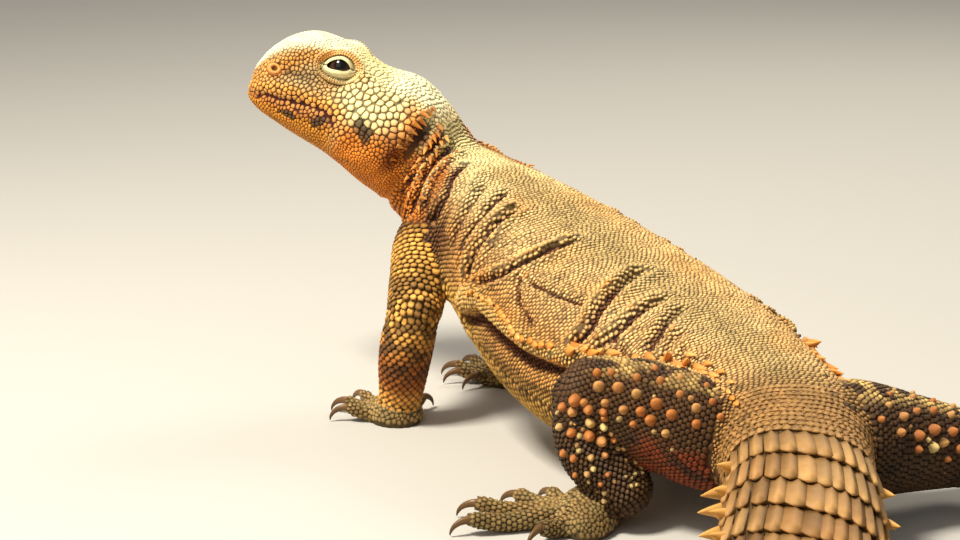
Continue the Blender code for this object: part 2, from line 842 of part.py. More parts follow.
def grown_body(limb):
    stations = neck_places() + torso_places() if limb == "upper_arm" else torso_places()
    return [body_span("grown_body", stations, GAP)]


def make_limbs():
    rng = random.Random(7)
    for side in ("left", "right"):
        for upper, lower, foot_name in (("upper_arm", "forearm", "hand"), ("thigh", "shank", "foot")):
            top, bottom = LIMB_SHAPES[f"{upper}_{side}"], LIMB_SHAPES[f"{lower}_{side}"]
            first = top.build()
            fuse(first, make_tubercles(top, rng))
            carve(first, grown_body(upper))
            paint(first, "skin_orange" if upper == "upper_arm" else "skin_brown")
            second = bottom.build()
            fuse(second, make_tubercles(bottom, rng))
            carve(second, grown_body(upper) + [top.build(GAP, "grown_top")])
            paint(second, "skin_brown")
            foot = next(f for f in FEET if f.name == f"{foot_name}_{side}")
            make_foot(foot, [bottom.build(GAP, "grown_bottom"), top.build(GAP, "grown_top")])


# Trunk and tail

NECK_SPINES = (
    ((50, 54), (51.5, 40), (54, 26), (57, 12), (60, -1)),
    ((59, 62), (62, 48), (65, 34)),
)


def make_neck():
    neck = body_span("neck", neck_places())
    spines = []
    for side in (1, -1):
        for row in NECK_SPINES:
            for at, angle in row:
                turned = mirrored(angle, side)
                back = -BODY.forward(at, BEND_REACH)
                spines.append(cone(body_point(at, turned), outwards_at(at, turned) + back * 0.8, 0.8, 1.6))
    fuse(neck, spines)
    paint(neck, "skin_orange")


# The tail is ringed with whorls of keeled plates, each ring overlapping the next.
WHORL_FIRST_END = 212.5
WHORL_LENGTH = 10.0  # at the tail's base
WHORL_LAST_LENGTH = 3.4
TOP_PLATES = {"tail_base": 11, "tail_middle": 9, "tail_end": 6}  # round each whorl's upper side
TOP_SPREAD = 208.0  # degrees that they cover
BELLY_COLUMNS = 4
PLATE_RISE = 1.25
PLATE_GROOVE = 0.55
PLATE_POINT = 0.9  # how far a keel reaches past its ring's edge
TAIL_POINT = 2.5
FINE_WHORL = 0.95  # whorls smaller than this share of the largest are simpler
WHORL_STATIONS = ((0.03, 0.0), (0.5, 0.55), (0.97, 1.0))  # along a whorl, each with its rise
TAIL_SPINES = ((-6.0, 4.4), (13.0, 2.8))  # angle above the side, length


def whorl_ends():
    """Where each whorl ends, from the tail's base to its tip."""
    ends = [WHORL_FIRST_END]
    while ends[-1] < BODY.length - WHORL_LAST_LENGTH:
        left = (BODY.length - ends[-1]) / (BODY.length - WHORL_FIRST_END)
        longer = (WHORL_LENGTH - WHORL_LAST_LENGTH) * min(1.0, left * 1.25)
        ends.append(ends[-1] + WHORL_LAST_LENGTH + longer)
    return ends[:-1] + [BODY.length]


def whorl_columns(plates):
    """Angles round the tail, each with how much of a keel's height it has."""
    columns = []
    step = TOP_SPREAD / plates
    first = 90.0 - TOP_SPREAD / 2
    for i in range(plates):
        columns += [(first + step * i, 0.0), (first + step * (i + 0.5), 1.0)]
    columns.append((first + TOP_SPREAD, 0.0))
    gap = (360.0 - TOP_SPREAD) / BELLY_COLUMNS
    columns += [(first + TOP_SPREAD + gap * i, 0.15) for i in range(1, BELLY_COLUMNS)]
    return columns


def whorl_rings(start, end, size, plates):
    """The rings of one whorl, from its root to its raised, pointed edge."""
    length = end - start
    rings = []
    stations = WHORL_STATIONS if size > FINE_WHORL else WHORL_STATIONS[::2]
    for part, rise in stations:
        ring = []
        for angle, keel in whorl_columns(plates):
            height = rise * (PLATE_GROOVE + (PLATE_RISE - PLATE_GROOVE) * keel) * size
            reach = PLATE_POINT * keel * size if part > 0.9 else 0.0
            back = BODY.forward(start + length * part, BEND_REACH) * -reach
            ring.append(body_point(start + length * part, angle, height) + back)
        rings.append(ring)
    return rings


def stepped_end(end, plates):
    """The ring that steps down under a whorl's edge to a node's flat end."""
    return [body_point(end - HALF_GAP, angle) for angle, keel in whorl_columns(plates)]


def tail_spines(end, size, rng):
    """The long spines at each side of a whorl's edge: two on the large ones."""
    spines = []
    at = end - 1.4 * size
    for angle, length in TAIL_SPINES if size > FINE_WHORL else TAIL_SPINES[:1]:
        for side in (1, -1):
            turned = mirrored(angle + rng.uniform(-3, 3), side)
            out = outwards_at(at, turned) + UP * 0.12 - BODY.forward(at, BEND_REACH) * 0.55
            reach = length * size * rng.uniform(0.88, 1.1)
            spines.append(cone(body_point(at, turned, PLATE_GROOVE * size * 0.5), out, 1.5 * size, reach))
    return spines


def make_tail():
    rng = random.Random(11)
    ends = whorl_ends()
    starts = [TORSO_END] + ends[:-1]
    limits = (TORSO_END, TAIL_BASE_END, TAIL_MIDDLE_END, BODY.length)
    for (name, plates), low, high in zip(TOP_PLATES.items(), limits, limits[1:]):
        rings, spines, last_end = [], [], low
        for start, end in zip(starts, ends):
            middle = (start + end) / 2
            if not low < middle < high:
                continue
            size = min(1.0, BODY.size(0, middle) / 13.0)
            rings += whorl_rings(start, end, size, plates)
            spines += tail_spines(end, size, rng)
            last_end = end
        tip = None
        if high == BODY.length:
            tip = BODY.centre(high) - BODY.forward(high) * TAIL_POINT
        else:
            rings.append(stepped_end(last_end, plates))
        piece = loft(name, rings, last_point=tip)
        fuse(piece, spines)
        carve(piece, [floor_block()])
        paint(piece, "tail_scales")


def centre_over_origin(objects):
    """Moves everything so that the middle of the whole animal's box is over the origin."""
    points = [vertex.co for obj in objects for vertex in obj.data.vertices]
    shift = Vector((0, 0, 0))
    for axis in (0, 1):
        shift[axis] = -(min(p[axis] for p in points) + max(p[axis] for p in points)) / 2
    for obj in objects:
        obj.data.transform(Matrix.Translation(shift))


def main():
    for obj in list(bpy.data.objects):
        bpy.data.objects.remove(obj)
    make_head()
    make_neck()
    paint(body_span("torso", torso_places()), "skin_orange")
    make_tail()
    make_limbs()
    animal = bpy.data.collections.new("spiny_tailed_lizard")
    bpy.context.scene.collection.children.link(animal)
    for obj in list(bpy.context.scene.collection.objects):
        animal.objects.link(obj)
        bpy.context.scene.collection.objects.unlink(obj)
    centre_over_origin(animal.objects)


main()
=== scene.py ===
import math

import bpy
import bmesh
import numpy as np
from mathutils import Matrix, Vector
from mathutils.bvhtree import BVHTree
from mathutils.kdtree import KDTree


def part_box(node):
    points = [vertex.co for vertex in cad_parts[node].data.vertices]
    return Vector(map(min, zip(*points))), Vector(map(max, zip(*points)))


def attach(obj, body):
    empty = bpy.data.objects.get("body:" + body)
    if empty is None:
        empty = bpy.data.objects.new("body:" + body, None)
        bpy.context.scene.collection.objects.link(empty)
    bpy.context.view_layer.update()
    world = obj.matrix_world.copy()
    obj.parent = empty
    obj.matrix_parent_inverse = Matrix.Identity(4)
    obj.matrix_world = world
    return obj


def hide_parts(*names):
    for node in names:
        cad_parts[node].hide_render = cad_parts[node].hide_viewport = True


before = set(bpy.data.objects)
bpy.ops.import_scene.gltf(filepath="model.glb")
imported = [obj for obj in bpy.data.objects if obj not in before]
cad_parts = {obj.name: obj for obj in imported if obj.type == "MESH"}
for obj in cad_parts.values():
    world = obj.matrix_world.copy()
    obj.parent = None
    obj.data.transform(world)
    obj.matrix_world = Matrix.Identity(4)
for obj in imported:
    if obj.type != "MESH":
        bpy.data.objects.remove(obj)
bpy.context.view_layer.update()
bpy.ops.object.select_all(action="DESELECT")

mm = 0.001
up = np.array((0.0, 0.0, 1.0))


def unit(v):
    return v / np.maximum(np.linalg.norm(v, axis=-1, keepdims=True), 1e-9)


def step(value, low, high):
    t = np.clip((value - low) / (high - low), 0, 1)
    return t * t * (3 - 2 * t)


def bulge(value, width):
    return np.exp(-((value / width) ** 2))


def mix(a, b, amount):
    amount = np.asarray(amount)[..., None]
    return np.asarray(a) * (1 - amount) + np.asarray(b) * amount


def blotch(pos, size, seed):
    # soft random patches about as large as size, from -1 to 1
    waves = np.random.default_rng(seed)
    total = np.zeros(len(pos))
    for _ in range(7):
        way = unit(waves.normal(size=3)) * (2 * math.pi / size) * waves.uniform(0.6, 1.6)
        total += np.sin(pos @ way + waves.uniform(0, 6.28))
    return total / 3.2


def farAlong(points):
    # how far along the line through them each point lies
    return np.concatenate(([0], np.cumsum(np.linalg.norm(np.diff(points, axis=0), axis=1))))


def pointTree(points):
    tree = KDTree(len(points))
    for i, p in enumerate(points):
        tree.insert(Vector(p), i)
    tree.balance()
    return tree


def meshPoints(obj):
    # a mesh's points in metres
    points = np.empty(len(obj.data.vertices) * 3)
    obj.data.vertices.foreach_get("co", points)
    return points.reshape(-1, 3)


def srgb(r, g, b):
    return tuple((c / 255 / 12.92) if c < 11 else ((c / 255 + 0.055) / 1.055) ** 2.4 for c in (r, g, b))


# the animal's lines, in millimetres, as its solids have them
head = {
    "snout": (42.6, -156.6, 75.9),
    "heading": 50.0,
    "pitch": 17.0,
    "length": 47.0,
    "eye": (21.8, 9.2, 13.4),  # behind the snout, out, above the axis
    "eyeRadius": 3.3,
}
# distance behind the snout, half width, height above the axis, depth below it
headRows = (
    (0.8, 4.4, 6.2, 1.8), (2.5, 7.2, 10.2, 3.0), (5.5, 9.4, 14.2, 4.4), (9.0, 10.8, 17.0, 5.4),
    (13.0, 12.0, 18.6, 6.6), (18.0, 13.2, 18.6, 7.8), (23.0, 14.4, 18.0, 9.0), (28.0, 16.0, 16.4, 10.8),
    (34.0, 17.6, 15.4, 13.4), (40.0, 17.6, 14.8, 15.4), (44.0, 16.6, 12.0, 16.2), (47.0, 15.6, 9.6, 16.4),
)
# centre, half width, height above it, depth below it
bodyRows = (
    (6.2, -125.4, 57.4, 14.6, 8.2, 16.0), (4.4, -119.5, 53.2, 15.2, 9.6, 16.0),
    (4.5, -107.0, 46.6, 18.0, 14.4, 17.0), (3.0, -90.0, 40.0, 23.5, 16.0, 20.0),
    (2.5, -62.0, 31.0, 29.5, 16.8, 23.0), (2.5, -35.0, 25.0, 28.5, 16.0, 20.5),
    (2.5, -14.0, 22.0, 21.5, 14.0, 14.5), (6.0, 1.5, 20.0, 17.5, 12.6, 11.5),
    (15.0, 15.5, 17.5, 15.0, 11.0, 10.0), (27.0, 29.5, 15.5, 15.0, 9.0, 11.0),
    (46.0, 49.0, 13.0, 14.4, 7.0, 12.9), (65.0, 70.0, 11.2, 13.2, 6.4, 11.3),
    (81.0, 92.0, 9.6, 11.4, 5.6, 9.7), (93.0, 115.0, 7.8, 9.0, 4.6, 7.9),
    (101.0, 137.0, 5.4, 5.8, 3.4, 5.5), (103.0, 143.0, 4.0, 3.4, 2.4, 3.6),
)
limbRows = {
    "upperArmLeft": ((8, -114, 44, 9.0), (19, -111, 41.5, 8.2), (26, -105, 35, 7.0), (30, -101, 29.5, 6.4)),
    "forearmLeft": ((30, -101, 30, 6.0), (31.5, -103, 18, 6.1), (31, -106, 7, 5.0)),
    "upperArmRight": (
        (1, -115, 44, 9.0), (-8, -115, 40.5, 8.2), (-15.5, -112, 34.5, 7.2), (-19, -108, 29, 6.4),
    ),
    "forearmRight": ((-19, -108, 29.5, 6.0), (-16.5, -112, 17, 6.1), (-10, -116.5, 7, 5.0)),
    "thighLeft": ((8, -2, 20, 11.5), (17, -9, 21, 12.0), (26, -20, 24.5, 10.6), (34, -27.5, 27, 8.6)),
    "shankLeft": ((34, -28, 27, 8.0), (34.5, -25.5, 17, 8.0), (31.5, -19, 8.0, 6.0)),
    "thighRight": ((0, 2, 19, 12.0), (-10, 5, 18.2, 12.4), (-24, 8, 15.5, 10.2), (-37, 10, 12.5, 8.2)),
    "shankRight": ((-37, 10, 12.5, 8.0), (-41, 21, 10.5, 7.6), (-42, 32, 7.5, 5.6)),
}
feet = {
    "handLeft": {"palm": (31.5, -107.5, 0), "turn": 20, "size": (6.2, 6.4, 5.6), "toe": 1.9,
                 "ways": (-74, -28, 4, 32, 58), "reach": (9.0, 11.5, 13.0, 12.5, 11.0)},
    "handRight": {"palm": (-9, -118, 0), "turn": -5, "size": (6.2, 6.4, 5.6), "toe": 1.9,
                  "ways": (90, 62, 36, 8, -40), "reach": (9.0, 11.5, 13.0, 12.5, 11.0)},
    "footLeft": {"palm": (36.5, -25, 0), "turn": 50, "size": (11.0, 6.2, 6.0), "toe": 2.2,
                 "ways": (2, 24, 47, 70, 104), "reach": (12.0, 16.5, 23.0, 25.0, 15.0)},
    "footRight": {"palm": (-48.5, 30, 0), "turn": -75, "size": (11.0, 6.2, 6.0), "toe": 2.2,
                  "ways": (-28, -48, -70, -92, -124), "reach": (12.0, 16.5, 23.0, 25.0, 15.0)},
}


def alongCurve(knots, values, at):
    # a smooth curve through the knots
    knots, values = np.asarray(knots, float), np.asarray(values, float)
    i = np.clip(np.searchsorted(knots, at, side="right") - 1, 0, len(knots) - 2)
    order = np.arange(len(knots))
    low, high = np.maximum(order - 1, 0), np.minimum(order + 1, len(knots) - 1)
    gap = (knots[high] - knots[low]).reshape((-1,) + (1,) * (values.ndim - 1))
    slopes = (values[high] - values[low]) / gap
    span = knots[i + 1] - knots[i]
    t = (at - knots[i]) / span
    shape = (-1,) + (1,) * (values.ndim - 1)
    t, span = t.reshape(shape), span.reshape(shape)
    return (values[i] * (2 * t**3 - 3 * t**2 + 1) + slopes[i] * span * (t**3 - 2 * t**2 + t)
            + values[i + 1] * (3 * t**2 - 2 * t**3) + slopes[i + 1] * span * (t**3 - t**2))


def headAxes():
    heading, pitch = math.radians(head["heading"]), math.radians(head["pitch"])
    level = math.cos(pitch)
    axis = np.array((math.sin(heading) * level, -math.cos(heading) * level, math.sin(pitch)))
    left = unit(np.cross(up, axis))
    return axis, left, np.cross(axis, left)


headAxis, headLeft, headUp = headAxes()


def headPlace(back, out, above):
    return np.array(head["snout"]) - headAxis * back + headLeft * out + headUp * above


# loose skin on the left side: height or depth, width, and the line it follows (place, angle; 90 is the top)
folds = (
    (1.5, 1.1, ((47.2, 60), (47.8, 42), (49.5, 22), (52, 4), (52, -12))),
    (-1.5, 0.9, ((49.4, 62), (50, 44), (52, 24), (55, 6), (55, -12))),
    (1.7, 1.3, ((50.8, 66), (52.5, 44), (56, 24), (60, 5), (61, -25), (60, -60))),
    (-1.9, 1.1, ((53, 80), (55, 58), (59, 38), (63, 20), (64.5, 0), (65, -28))),
    (1.5, 1.5, ((57, 82), (60, 58), (65, 34), (68.5, 15), (69, -5), (69, -35))),
    (-1.2, 0.8, ((61, 60), (64, 46), (67.5, 28), (71, 10))),
    (-2.0, 1.2, ((66, 74), (70, 50), (74, 34), (75, 12), (73, -12))),
    (1.2, 1.8, ((73, 76), (78, 52), (81, 33), (82, 15))),
    (-1.9, 1.1, ((85, 72), (88, 50), (90, 27), (93, 6))),
    (-1.3, 0.8, ((79, 66), (82.5, 46), (84.5, 28), (86, 10))),
    (-1.0, 0.7, ((97, 62), (99.5, 46), (101.5, 30), (102.5, 16))),
    (1.0, 1.3, ((90, 68), (92, 47), (93, 26), (96, 6))),
    (-1.9, 1.1, ((93, 68), (95, 45), (97, 24), (99, 5))),
    (-2.1, 1.1, ((112, 80), (112.5, 62), (112, 45), (110, 30), (105, 12))),
    (-1.5, 1.0, ((115, 40), (120, 27), (129, 20))),
    (-1.5, 1.0, ((118, 41), (127, 46), (135, 52))),
    (-2.3, 1.2, ((131, 88), (135, 73), (139, 58), (143, 40), (143, 26))),
    (-1.9, 1.1, ((144, 84), (146, 68), (148.5, 50), (149, 32))),
    (-1.6, 1.1, ((150, 84), (155, 62), (158, 47))),
    (-1.0, 1.0, ((158, 70), (161, 52), (163, 38))),
    (0.7, 0.8, ((95, 74), (97.5, 52), (99.5, 30), (102, 12))),
    (0.7, 0.8, ((110.4, 78), (110.8, 60), (110.2, 44), (108, 30), (103.5, 13))),
    (0.6, 0.8, ((129.2, 86), (133, 72), (137, 58), (141, 40), (141.2, 28))),
    (0.6, 0.8, ((142.2, 82), (144.2, 68), (146.6, 50), (147.2, 33))),
    (-1.2, 0.9, ((150, 44), (154, 36), (160, 34), (166, 36))),
    (-1.1, 0.8, ((162, 62), (166, 50), (168, 40))),
    (-1.1, 0.8, ((168, 66), (172, 52), (174, 42))),
    (0.9, 1.0, ((148, 38), (153, 31), (160, 29), (168, 32), (176, 38))),
    (-0.7, 0.7, ((121, 66), (124, 56), (126, 48))),
    (-0.7, 0.7, ((104, 66), (103.5, 50), (102, 36))),
    (-0.6, 0.7, ((152, 72), (157, 60), (160, 52))),
    (2.2, 2.2, ((99, -6), (108, 8), (119, 10), (131, 11), (143, 17), (153, 26))),
    (-2.0, 1.7, ((101, -18), (110, -3), (120, -1), (132, 0), (144, 6))),
)
headForms = (  # place, angle, height, width along, width round
    (17.5, 54.0, 0.9, 9.0, 9.0), (20.5, 27.0, -2.3, 5.5, 12.0), (12.0, 30.0, -1.0, 3.5, 12.0),
    (34.0, 0.0, 1.0, 7.0, 22.0), (30.0, 75.0, -0.7, 6.0, 22.0),
    (26.8, -2.0, 1.1, 3.2, 8.0), (31.5, -2.0, -0.9, 1.8, 9.0),
)
headLines = (  # ridges and grooves of the head: height, width, line
    (0.9, 1.3, ((5, 33), (8, 38), (11, 43), (15, 48), (19, 53), (23, 56), (26.5, 55), (29, 50))),
    (-1.0, 0.55, ((0.8, -30), (1.9, -8), (5, 2), (10, 3), (15.3, 4), (20.6, 5), (24.6, 1))),
    (0.45, 0.9, ((3, 9), (6, 10), (10, 11), (15.3, 11), (20.6, 11), (25, 7))),
    (-0.6, 0.9, ((7.5, 22), (10, 23), (13, 24), (16, 27))),
    (-2.8, 1.6, ((45.6, 50), (45.2, 36), (44.6, 20), (43.8, 6), (42.6, -8))),
    (0.8, 0.9, ((43.2, 58), (42.6, 46), (42.0, 30), (41.4, 15), (40.6, 0))),
    (-1.0, 1.0, ((36, -62), (38, -35), (40, -12), (41, 0))),
)


headPerDegree, bodyPerDegree = 0.27, 0.42  # millimetres round the head and the body for each degree


def turned(angle, centre):
    return (angle - centre + 180) % 360 - 180


def fromLine(here, line):
    nearest = np.full(len(here), 1e9)
    for a, b in zip(line, line[1:]):
        run = b - a
        t = np.clip((here - a) @ run / (run @ run), 0, 1)
        nearest = np.minimum(nearest, np.linalg.norm(here - a - t[:, None] * run, axis=1))
    return nearest


def linesRelief(at, angle, lines, perDegree, rightShift):
    relief = np.zeros(len(at))
    for centre, back, sign in ((0, at, 1), (180, at - rightShift, -1)):
        off = turned(angle, centre) * sign
        near = np.abs(off) < 100
        here = np.stack((back, off * perDegree), axis=1)
        shown = 1 - step(off, 34, 48) * (sign < 0) * (rightShift > 0)
        for height, width, line in lines:
            points = np.array([(p[0], p[1] * perDegree) for p in line], float)
            inside = near & (back > points[:, 0].min() - 3 * width) & (back < points[:, 0].max() + 3 * width)
            if inside.any():
                gap = fromLine(here[inside], points)
                rolls = -0.42 * min(height, 0) * bulge(gap - 1.9 * width, 0.75 * width) * (rightShift > 0)
                relief[inside] += shown[inside] * (height * bulge(gap, width) + rolls)
    return relief


bodyCentres = [headPlace(row[0], 0, 0) for row in headRows] + [np.array(row[:3], float) for row in bodyRows]
bodySizes = [row[1:] for row in headRows] + [row[3:] for row in bodyRows]
bodyKnots = [0.8]
for before, after in zip(bodyCentres, bodyCentres[1:]):
    bodyKnots.append(bodyKnots[-1] + float(np.linalg.norm(after - before)))
bodyLength = bodyKnots[-1]


def bodyFrame(at):
    centre = alongCurve(bodyKnots, bodyCentres, at)
    front = alongCurve(bodyKnots, bodyCentres, np.maximum(at - 8, bodyKnots[0]))
    rear = alongCurve(bodyKnots, bodyCentres, np.minimum(at + 8, bodyLength))
    forward = unit(front - rear)
    left = unit(np.cross(up, forward))
    above = np.cross(forward, left)
    roll = np.radians(10.0 * bulge(at - 225, 40))[:, None]
    left = left * np.cos(roll) + above * np.sin(roll)
    return centre, left, np.cross(forward, left)


def bodyRelief(at, angle):
    relief = np.zeros(len(at))
    for place, centre, height, along, around in headForms:
        for side in (centre, 180 - centre):
            relief += height * bulge(at - place, along) * bulge(turned(angle, side), around)
    relief += linesRelief(at, angle, headLines, headPerDegree, 0)
    relief *= bulge(np.maximum(0, at - 44), 2.2)  # the head's forms end at the ears
    neck = (at > head["length"]) & (at < 170)  # where the folds lie
    if neck.any():
        fade = 1 - bulge(at[neck] - head["length"], 3.0)
        relief[neck] += linesRelief(at[neck], angle[neck], folds, bodyPerDegree, 1.6) * fade
    return relief


def bodyPoint(at, angle, grow=0.0):
    at, angle = np.asarray(at, float), np.asarray(angle, float)
    centre, left, above = bodyFrame(at)
    squareness = np.where(at < head["length"], 2.6, 2.4)  # 2 is an ellipse; the head is the squarer one
    blend = np.minimum(1, np.abs(at - head["length"]) / 8)
    power = 2 / (2.5 + (squareness - 2.5) * blend)
    turn = np.radians(angle)
    across = np.sign(np.cos(turn)) * np.abs(np.cos(turn)) ** power
    high = np.sign(np.sin(turn)) * np.abs(np.sin(turn)) ** power
    sizes = alongCurve(bodyKnots, bodySizes, at)
    tall = np.where(high > 0, sizes[:, 1], sizes[:, 2])
    relief = (bodyRelief(at, angle) + grow)[:, None]
    outward = left * np.cos(turn)[:, None] + above * np.sin(turn)[:, None]
    return centre + left * (sizes[:, 0] * across)[:, None] + above * (tall * high)[:, None] + outward * relief


def roundTube(rows):
    # a round limb or toe: returns its length and a function from place and angle to a point
    points = np.array([row[:3] for row in rows], float)
    radii = np.array([row[3] for row in rows], float)
    knots = farAlong(points)
    run = points[-1] - points[0]
    axes = np.eye(3)[[2, 1, 0]]
    reference = axes[np.argmin(np.abs(axes @ run))]
    length = knots[-1]

    def point(at, angle, grow=0.0):
        at, angle = np.asarray(at, float), np.asarray(angle, float)
        held = np.clip(at, 0, length)
        centre = alongCurve(knots, points, held)
        back = unit(alongCurve(knots, points, np.maximum(held - 0.5, 0))
                    - alongCurve(knots, points, np.minimum(held + 0.5, length)))
        radius = alongCurve(knots, radii, held)
        beyond = at - held
        cap = np.sqrt(np.clip(1 - (beyond / (radius * 0.8)) ** 2, 0, 1))
        across = unit(np.cross(back, reference))
        above = np.cross(across, back)
        turn = np.radians(angle)[:, None]
        reach = (radius * cap + grow * np.maximum(cap, 0.3))[:, None]
        return centre - back * beyond[:, None] + (across * np.cos(turn) + above * np.sin(turn)) * reach

    return {"point": point, "length": length, "first": -radii[0] * 0.8, "last": length + radii[-1] * 0.8}


def heading(degrees):
    turn = math.radians(degrees)
    return np.array((math.sin(turn), -math.cos(turn), 0.0))


def toeRows(foot, i):
    way, palm = heading(foot["ways"][i]), np.array(foot["palm"], float)
    r, reach = foot["toe"], foot["reach"][i]
    places = ((2.0, 2.6, 1.05), (reach * 0.42, 2.5, 1.0), (reach * 0.74, 2.2, 0.92), (reach, 3.4, 0.80))
    return [tuple(palm + way * out + up * high) + (r * size,) for out, high, size in places]


limbs = {name: roundTube(rows) for name, rows in limbRows.items()}
toes = {f"{name}{i}": roundTube(toeRows(foot, i)) for name, foot in feet.items() for i in range(5)}

# the solids are centred over the origin: the left eye's box says how far these lines are from there
low, high = (np.array(corner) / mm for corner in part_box("eye_left"))
shift = (low + high) / 2 - headPlace(*head["eye"])
print("lines ready, shift", np.round(shift, 2))


def toWorld(points):
    return (np.asarray(points) + shift) * mm


tones = {  # colours, laid as patches along the body; some of them are painted shade
    "back": srgb(253, 210, 142), "backWarm": srgb(240, 180, 98), "backPale": srgb(255, 232, 166),
    "spine": srgb(214, 184, 120), "flank": srgb(222, 162, 86), "foldShade": srgb(98, 46, 18),
    "belly": srgb(230, 178, 86), "ridge": srgb(250, 206, 122), "accent": srgb(230, 136, 44),
    "shoulder": srgb(82, 42, 20), "rump": srgb(160, 116, 62), "crown": srgb(252, 246, 202),
    "canthus": srgb(226, 154, 72), "snout": srgb(200, 154, 92), "cheek": srgb(240, 222, 158),
    "temple": srgb(240, 210, 148), "lore": srgb(160, 142, 98), "lip": srgb(238, 166, 74),
    "dark": srgb(50, 40, 26), "mouth": srgb(84, 30, 16), "throat": srgb(220, 130, 34),
    "chin": srgb(212, 138, 42), "lid": srgb(206, 196, 148), "ear": srgb(84, 30, 14),
    "arm": srgb(246, 182, 86), "armLow": srgb(160, 90, 26), "armDark": srgb(60, 38, 20),
    "hand": srgb(160, 128, 76), "thigh": srgb(88, 58, 28), "thighUnder": srgb(142, 64, 26),
    "shank": srgb(76, 52, 26), "knob": srgb(180, 110, 52), "knobPale": srgb(214, 190, 122),
    "foot": srgb(168, 140, 86), "tail": srgb(156, 112, 62), "tailPale": srgb(198, 154, 94),
    "spike": srgb(222, 166, 82), "claw": srgb(104, 76, 46), "nostril": srgb(222, 146, 76),
}


def sideAngle(angle):
    # 0 at either side, 90 at the top, -90 underneath
    off = turned(angle, 0)
    return np.where(np.abs(off) <= 90, off, np.sign(off) * 180 - off)


def painted(tone, *layers):
    # each layer is a tone's name and how far it covers what lies below it
    for name, amount in layers:
        tone = mix(tone, tones[name], amount)
    return tone


def trunkTone(at, side, relief, soft, fine):
    tone = painted(
        tones["flank"],
        ("back", step(side, 10, 60)),
        ("backWarm", 0.55 * step(soft, -0.3, 0.9) * step(side, 30, 75)),
        ("backPale", 0.75 * bulge(at - 76, 12) * bulge(side - 62, 22)),
        ("belly", step(-side, 2, 16)),
        ("ridge", 0.6 * step(relief, 0.4, 1.6) * (at > 95)),
        ("accent", 0.55 * step(fine, 0.25, 0.9) * step(relief, 0.2, 1.2)),
        # painted shade in the creases of the folds
        ("foldShade", 0.95 * step(-relief, 0.5, 1.35)),
        # painted shade round the arm's root, left off the ridges of the folds
        ("shoulder", 0.9 * bulge(at - 74, 9) * step(-side, -30, 2) * step(side, -45, -20)),
        ("shoulder", 0.75 * bulge(at - 76, 11) * step(40 - side, 0, 18) * step(side, -20, 0)
         * step(0.9 - relief, 0, 1)),
        # painted shadow on the belly under the flank's fold
        ("foldShade", 0.55 * step(-side, 0, 10) * bulge(at - 122, 22) * (1 - step(-side, 16, 34))),
        # painted shade along the top of the back, where the light grazes it
        ("spine", 0.8 * step(side, 68, 88) * (at > 60)),
        ("rump", 0.9 * step(at, 172, 192)),
    )
    streak = blotch(np.stack((at * 1.5, side * 0.11, 0 * at), axis=1), 1.0, 5)
    return tone * (1 - 0.45 * step(streak, 0.25, 0.8) * (1 - 0.6 * step(side, 50, 80)))[:, None]


def collarTone(at, side, relief, fine):
    tone = painted(
        tones["accent"],
        ("backPale", step(side, 46, 72)),
        ("backPale", 0.6 * step(relief, 0.5, 1.3) * step(side, 0, 20)),
        ("throat", step(-side, 5, 30)),
        # painted shade in the neck's folds, off their ridges, in the dark ear tone
        ("ear", 0.92 * step(0.35 - relief, 0, 0.8) * (1 - step(side, 58, 80)) * step(side, -24, 0)),
        ("ear", 0.95 * step(-relief, 0.1, 0.9) * (1 - step(side, 66, 84))),
    )
    shade = 0.40 * (1 - step(side, 40, 62)) * step(side, -20, 0) * step(0.9 - relief, 0, 1.2)
    # dark spots on the neck, in the tone that also gives the arm's root its painted shade
    spots = 0.8 * step(fine, 0.4, 0.8) * step(at, 56, 62) * (1 - step(side, 30, 50))
    return painted(tone * (1 - shade)[:, None], ("shoulder", spots))


def faceTone(at, side, soft, fine):
    ridgeAngle = np.interp(at, (5, 8, 11, 15, 19, 23, 27), (33, 38, 43, 48, 53, 56, 54))
    return painted(
        tones["snout"],
        ("crown", step(side, 44, 60)),
        ("cheek", step(at, 19, 27) * step(side, 2, 12)),
        ("temple", 0.8 * bulge(at - 31, 6) * bulge(side - 36, 10)),
        ("crown", 0.8 * step(at, 30, 38) * step(side, 44, 62)),
        ("lore", 0.9 * bulge(at - 11.5, 7.0) * bulge(side - 17.5, 5.5)),
        ("canthus", 0.95 * bulge(side - ridgeAngle + 6, 7) * step(at, 3, 6) * (1 - step(at, 26, 30))),
        ("canthus", 0.85 * bulge(at - 6, 4.2) * bulge(side - 28, 12)),
        ("canthus", 0.7 * bulge(at - 1.5, 2.5) * bulge(side - 15, 16)),
        # painted shade in the groove under the canthal ridge
        ("dark", 0.8 * bulge(at - 12.5, 4.6) * bulge(side - 24, 3.8)),
        ("lore", 0.7 * bulge(at - 15.5, 3.6) * bulge(side - 34, 8)),
        ("lip", 0.9 * bulge(side - 9, 5) * (1 - step(at, 24, 28))),
        ("chin", step(-side, -4, 4) * (1 - step(at, 22, 27))),
        ("armLow", 0.65 * bulge(side, 5) * (1 - step(at, 22, 26))),
        ("dark", 0.9 * step(bulge(at - 13.5, 4.4) * bulge(side + 5.5, 4.2) * (1 + 0.8 * fine), 0.25, 0.6)),
        ("dark", 0.9 * step(bulge(at - 21.5, 3.4) * bulge(side + 3, 6) * (1 + 0.9 * fine), 0.35, 0.7)),
        ("accent", step(at, 24, 28) * step(-side, -7, 3)),
        ("accent", 0.9 * bulge(at - 39, 5) * bulge(side - 10, 9) * step(soft, -0.6, 0.4)),
        ("throat", step(-side, 12, 28) * step(at, 20, 30)),
        ("dark", 0.9 * step(bulge(at - 31.5, 2.6) * bulge(side - 1, 9) * (1 + 0.7 * fine), 0.25, 0.6)),
        # painted shade in the groove behind the jaw and in the ear opening
        ("ear", 0.9 * bulge(at - 40.5, 2.4) * bulge(side + 6, 12)),
        ("ear", step(bulge(at - 44.6, 2.4) * bulge(side - 20, 26), 0.25, 0.6)),
        ("accent", 0.9 * bulge(at - 41.3, 1.6) * bulge(side - 28, 20)),
    )


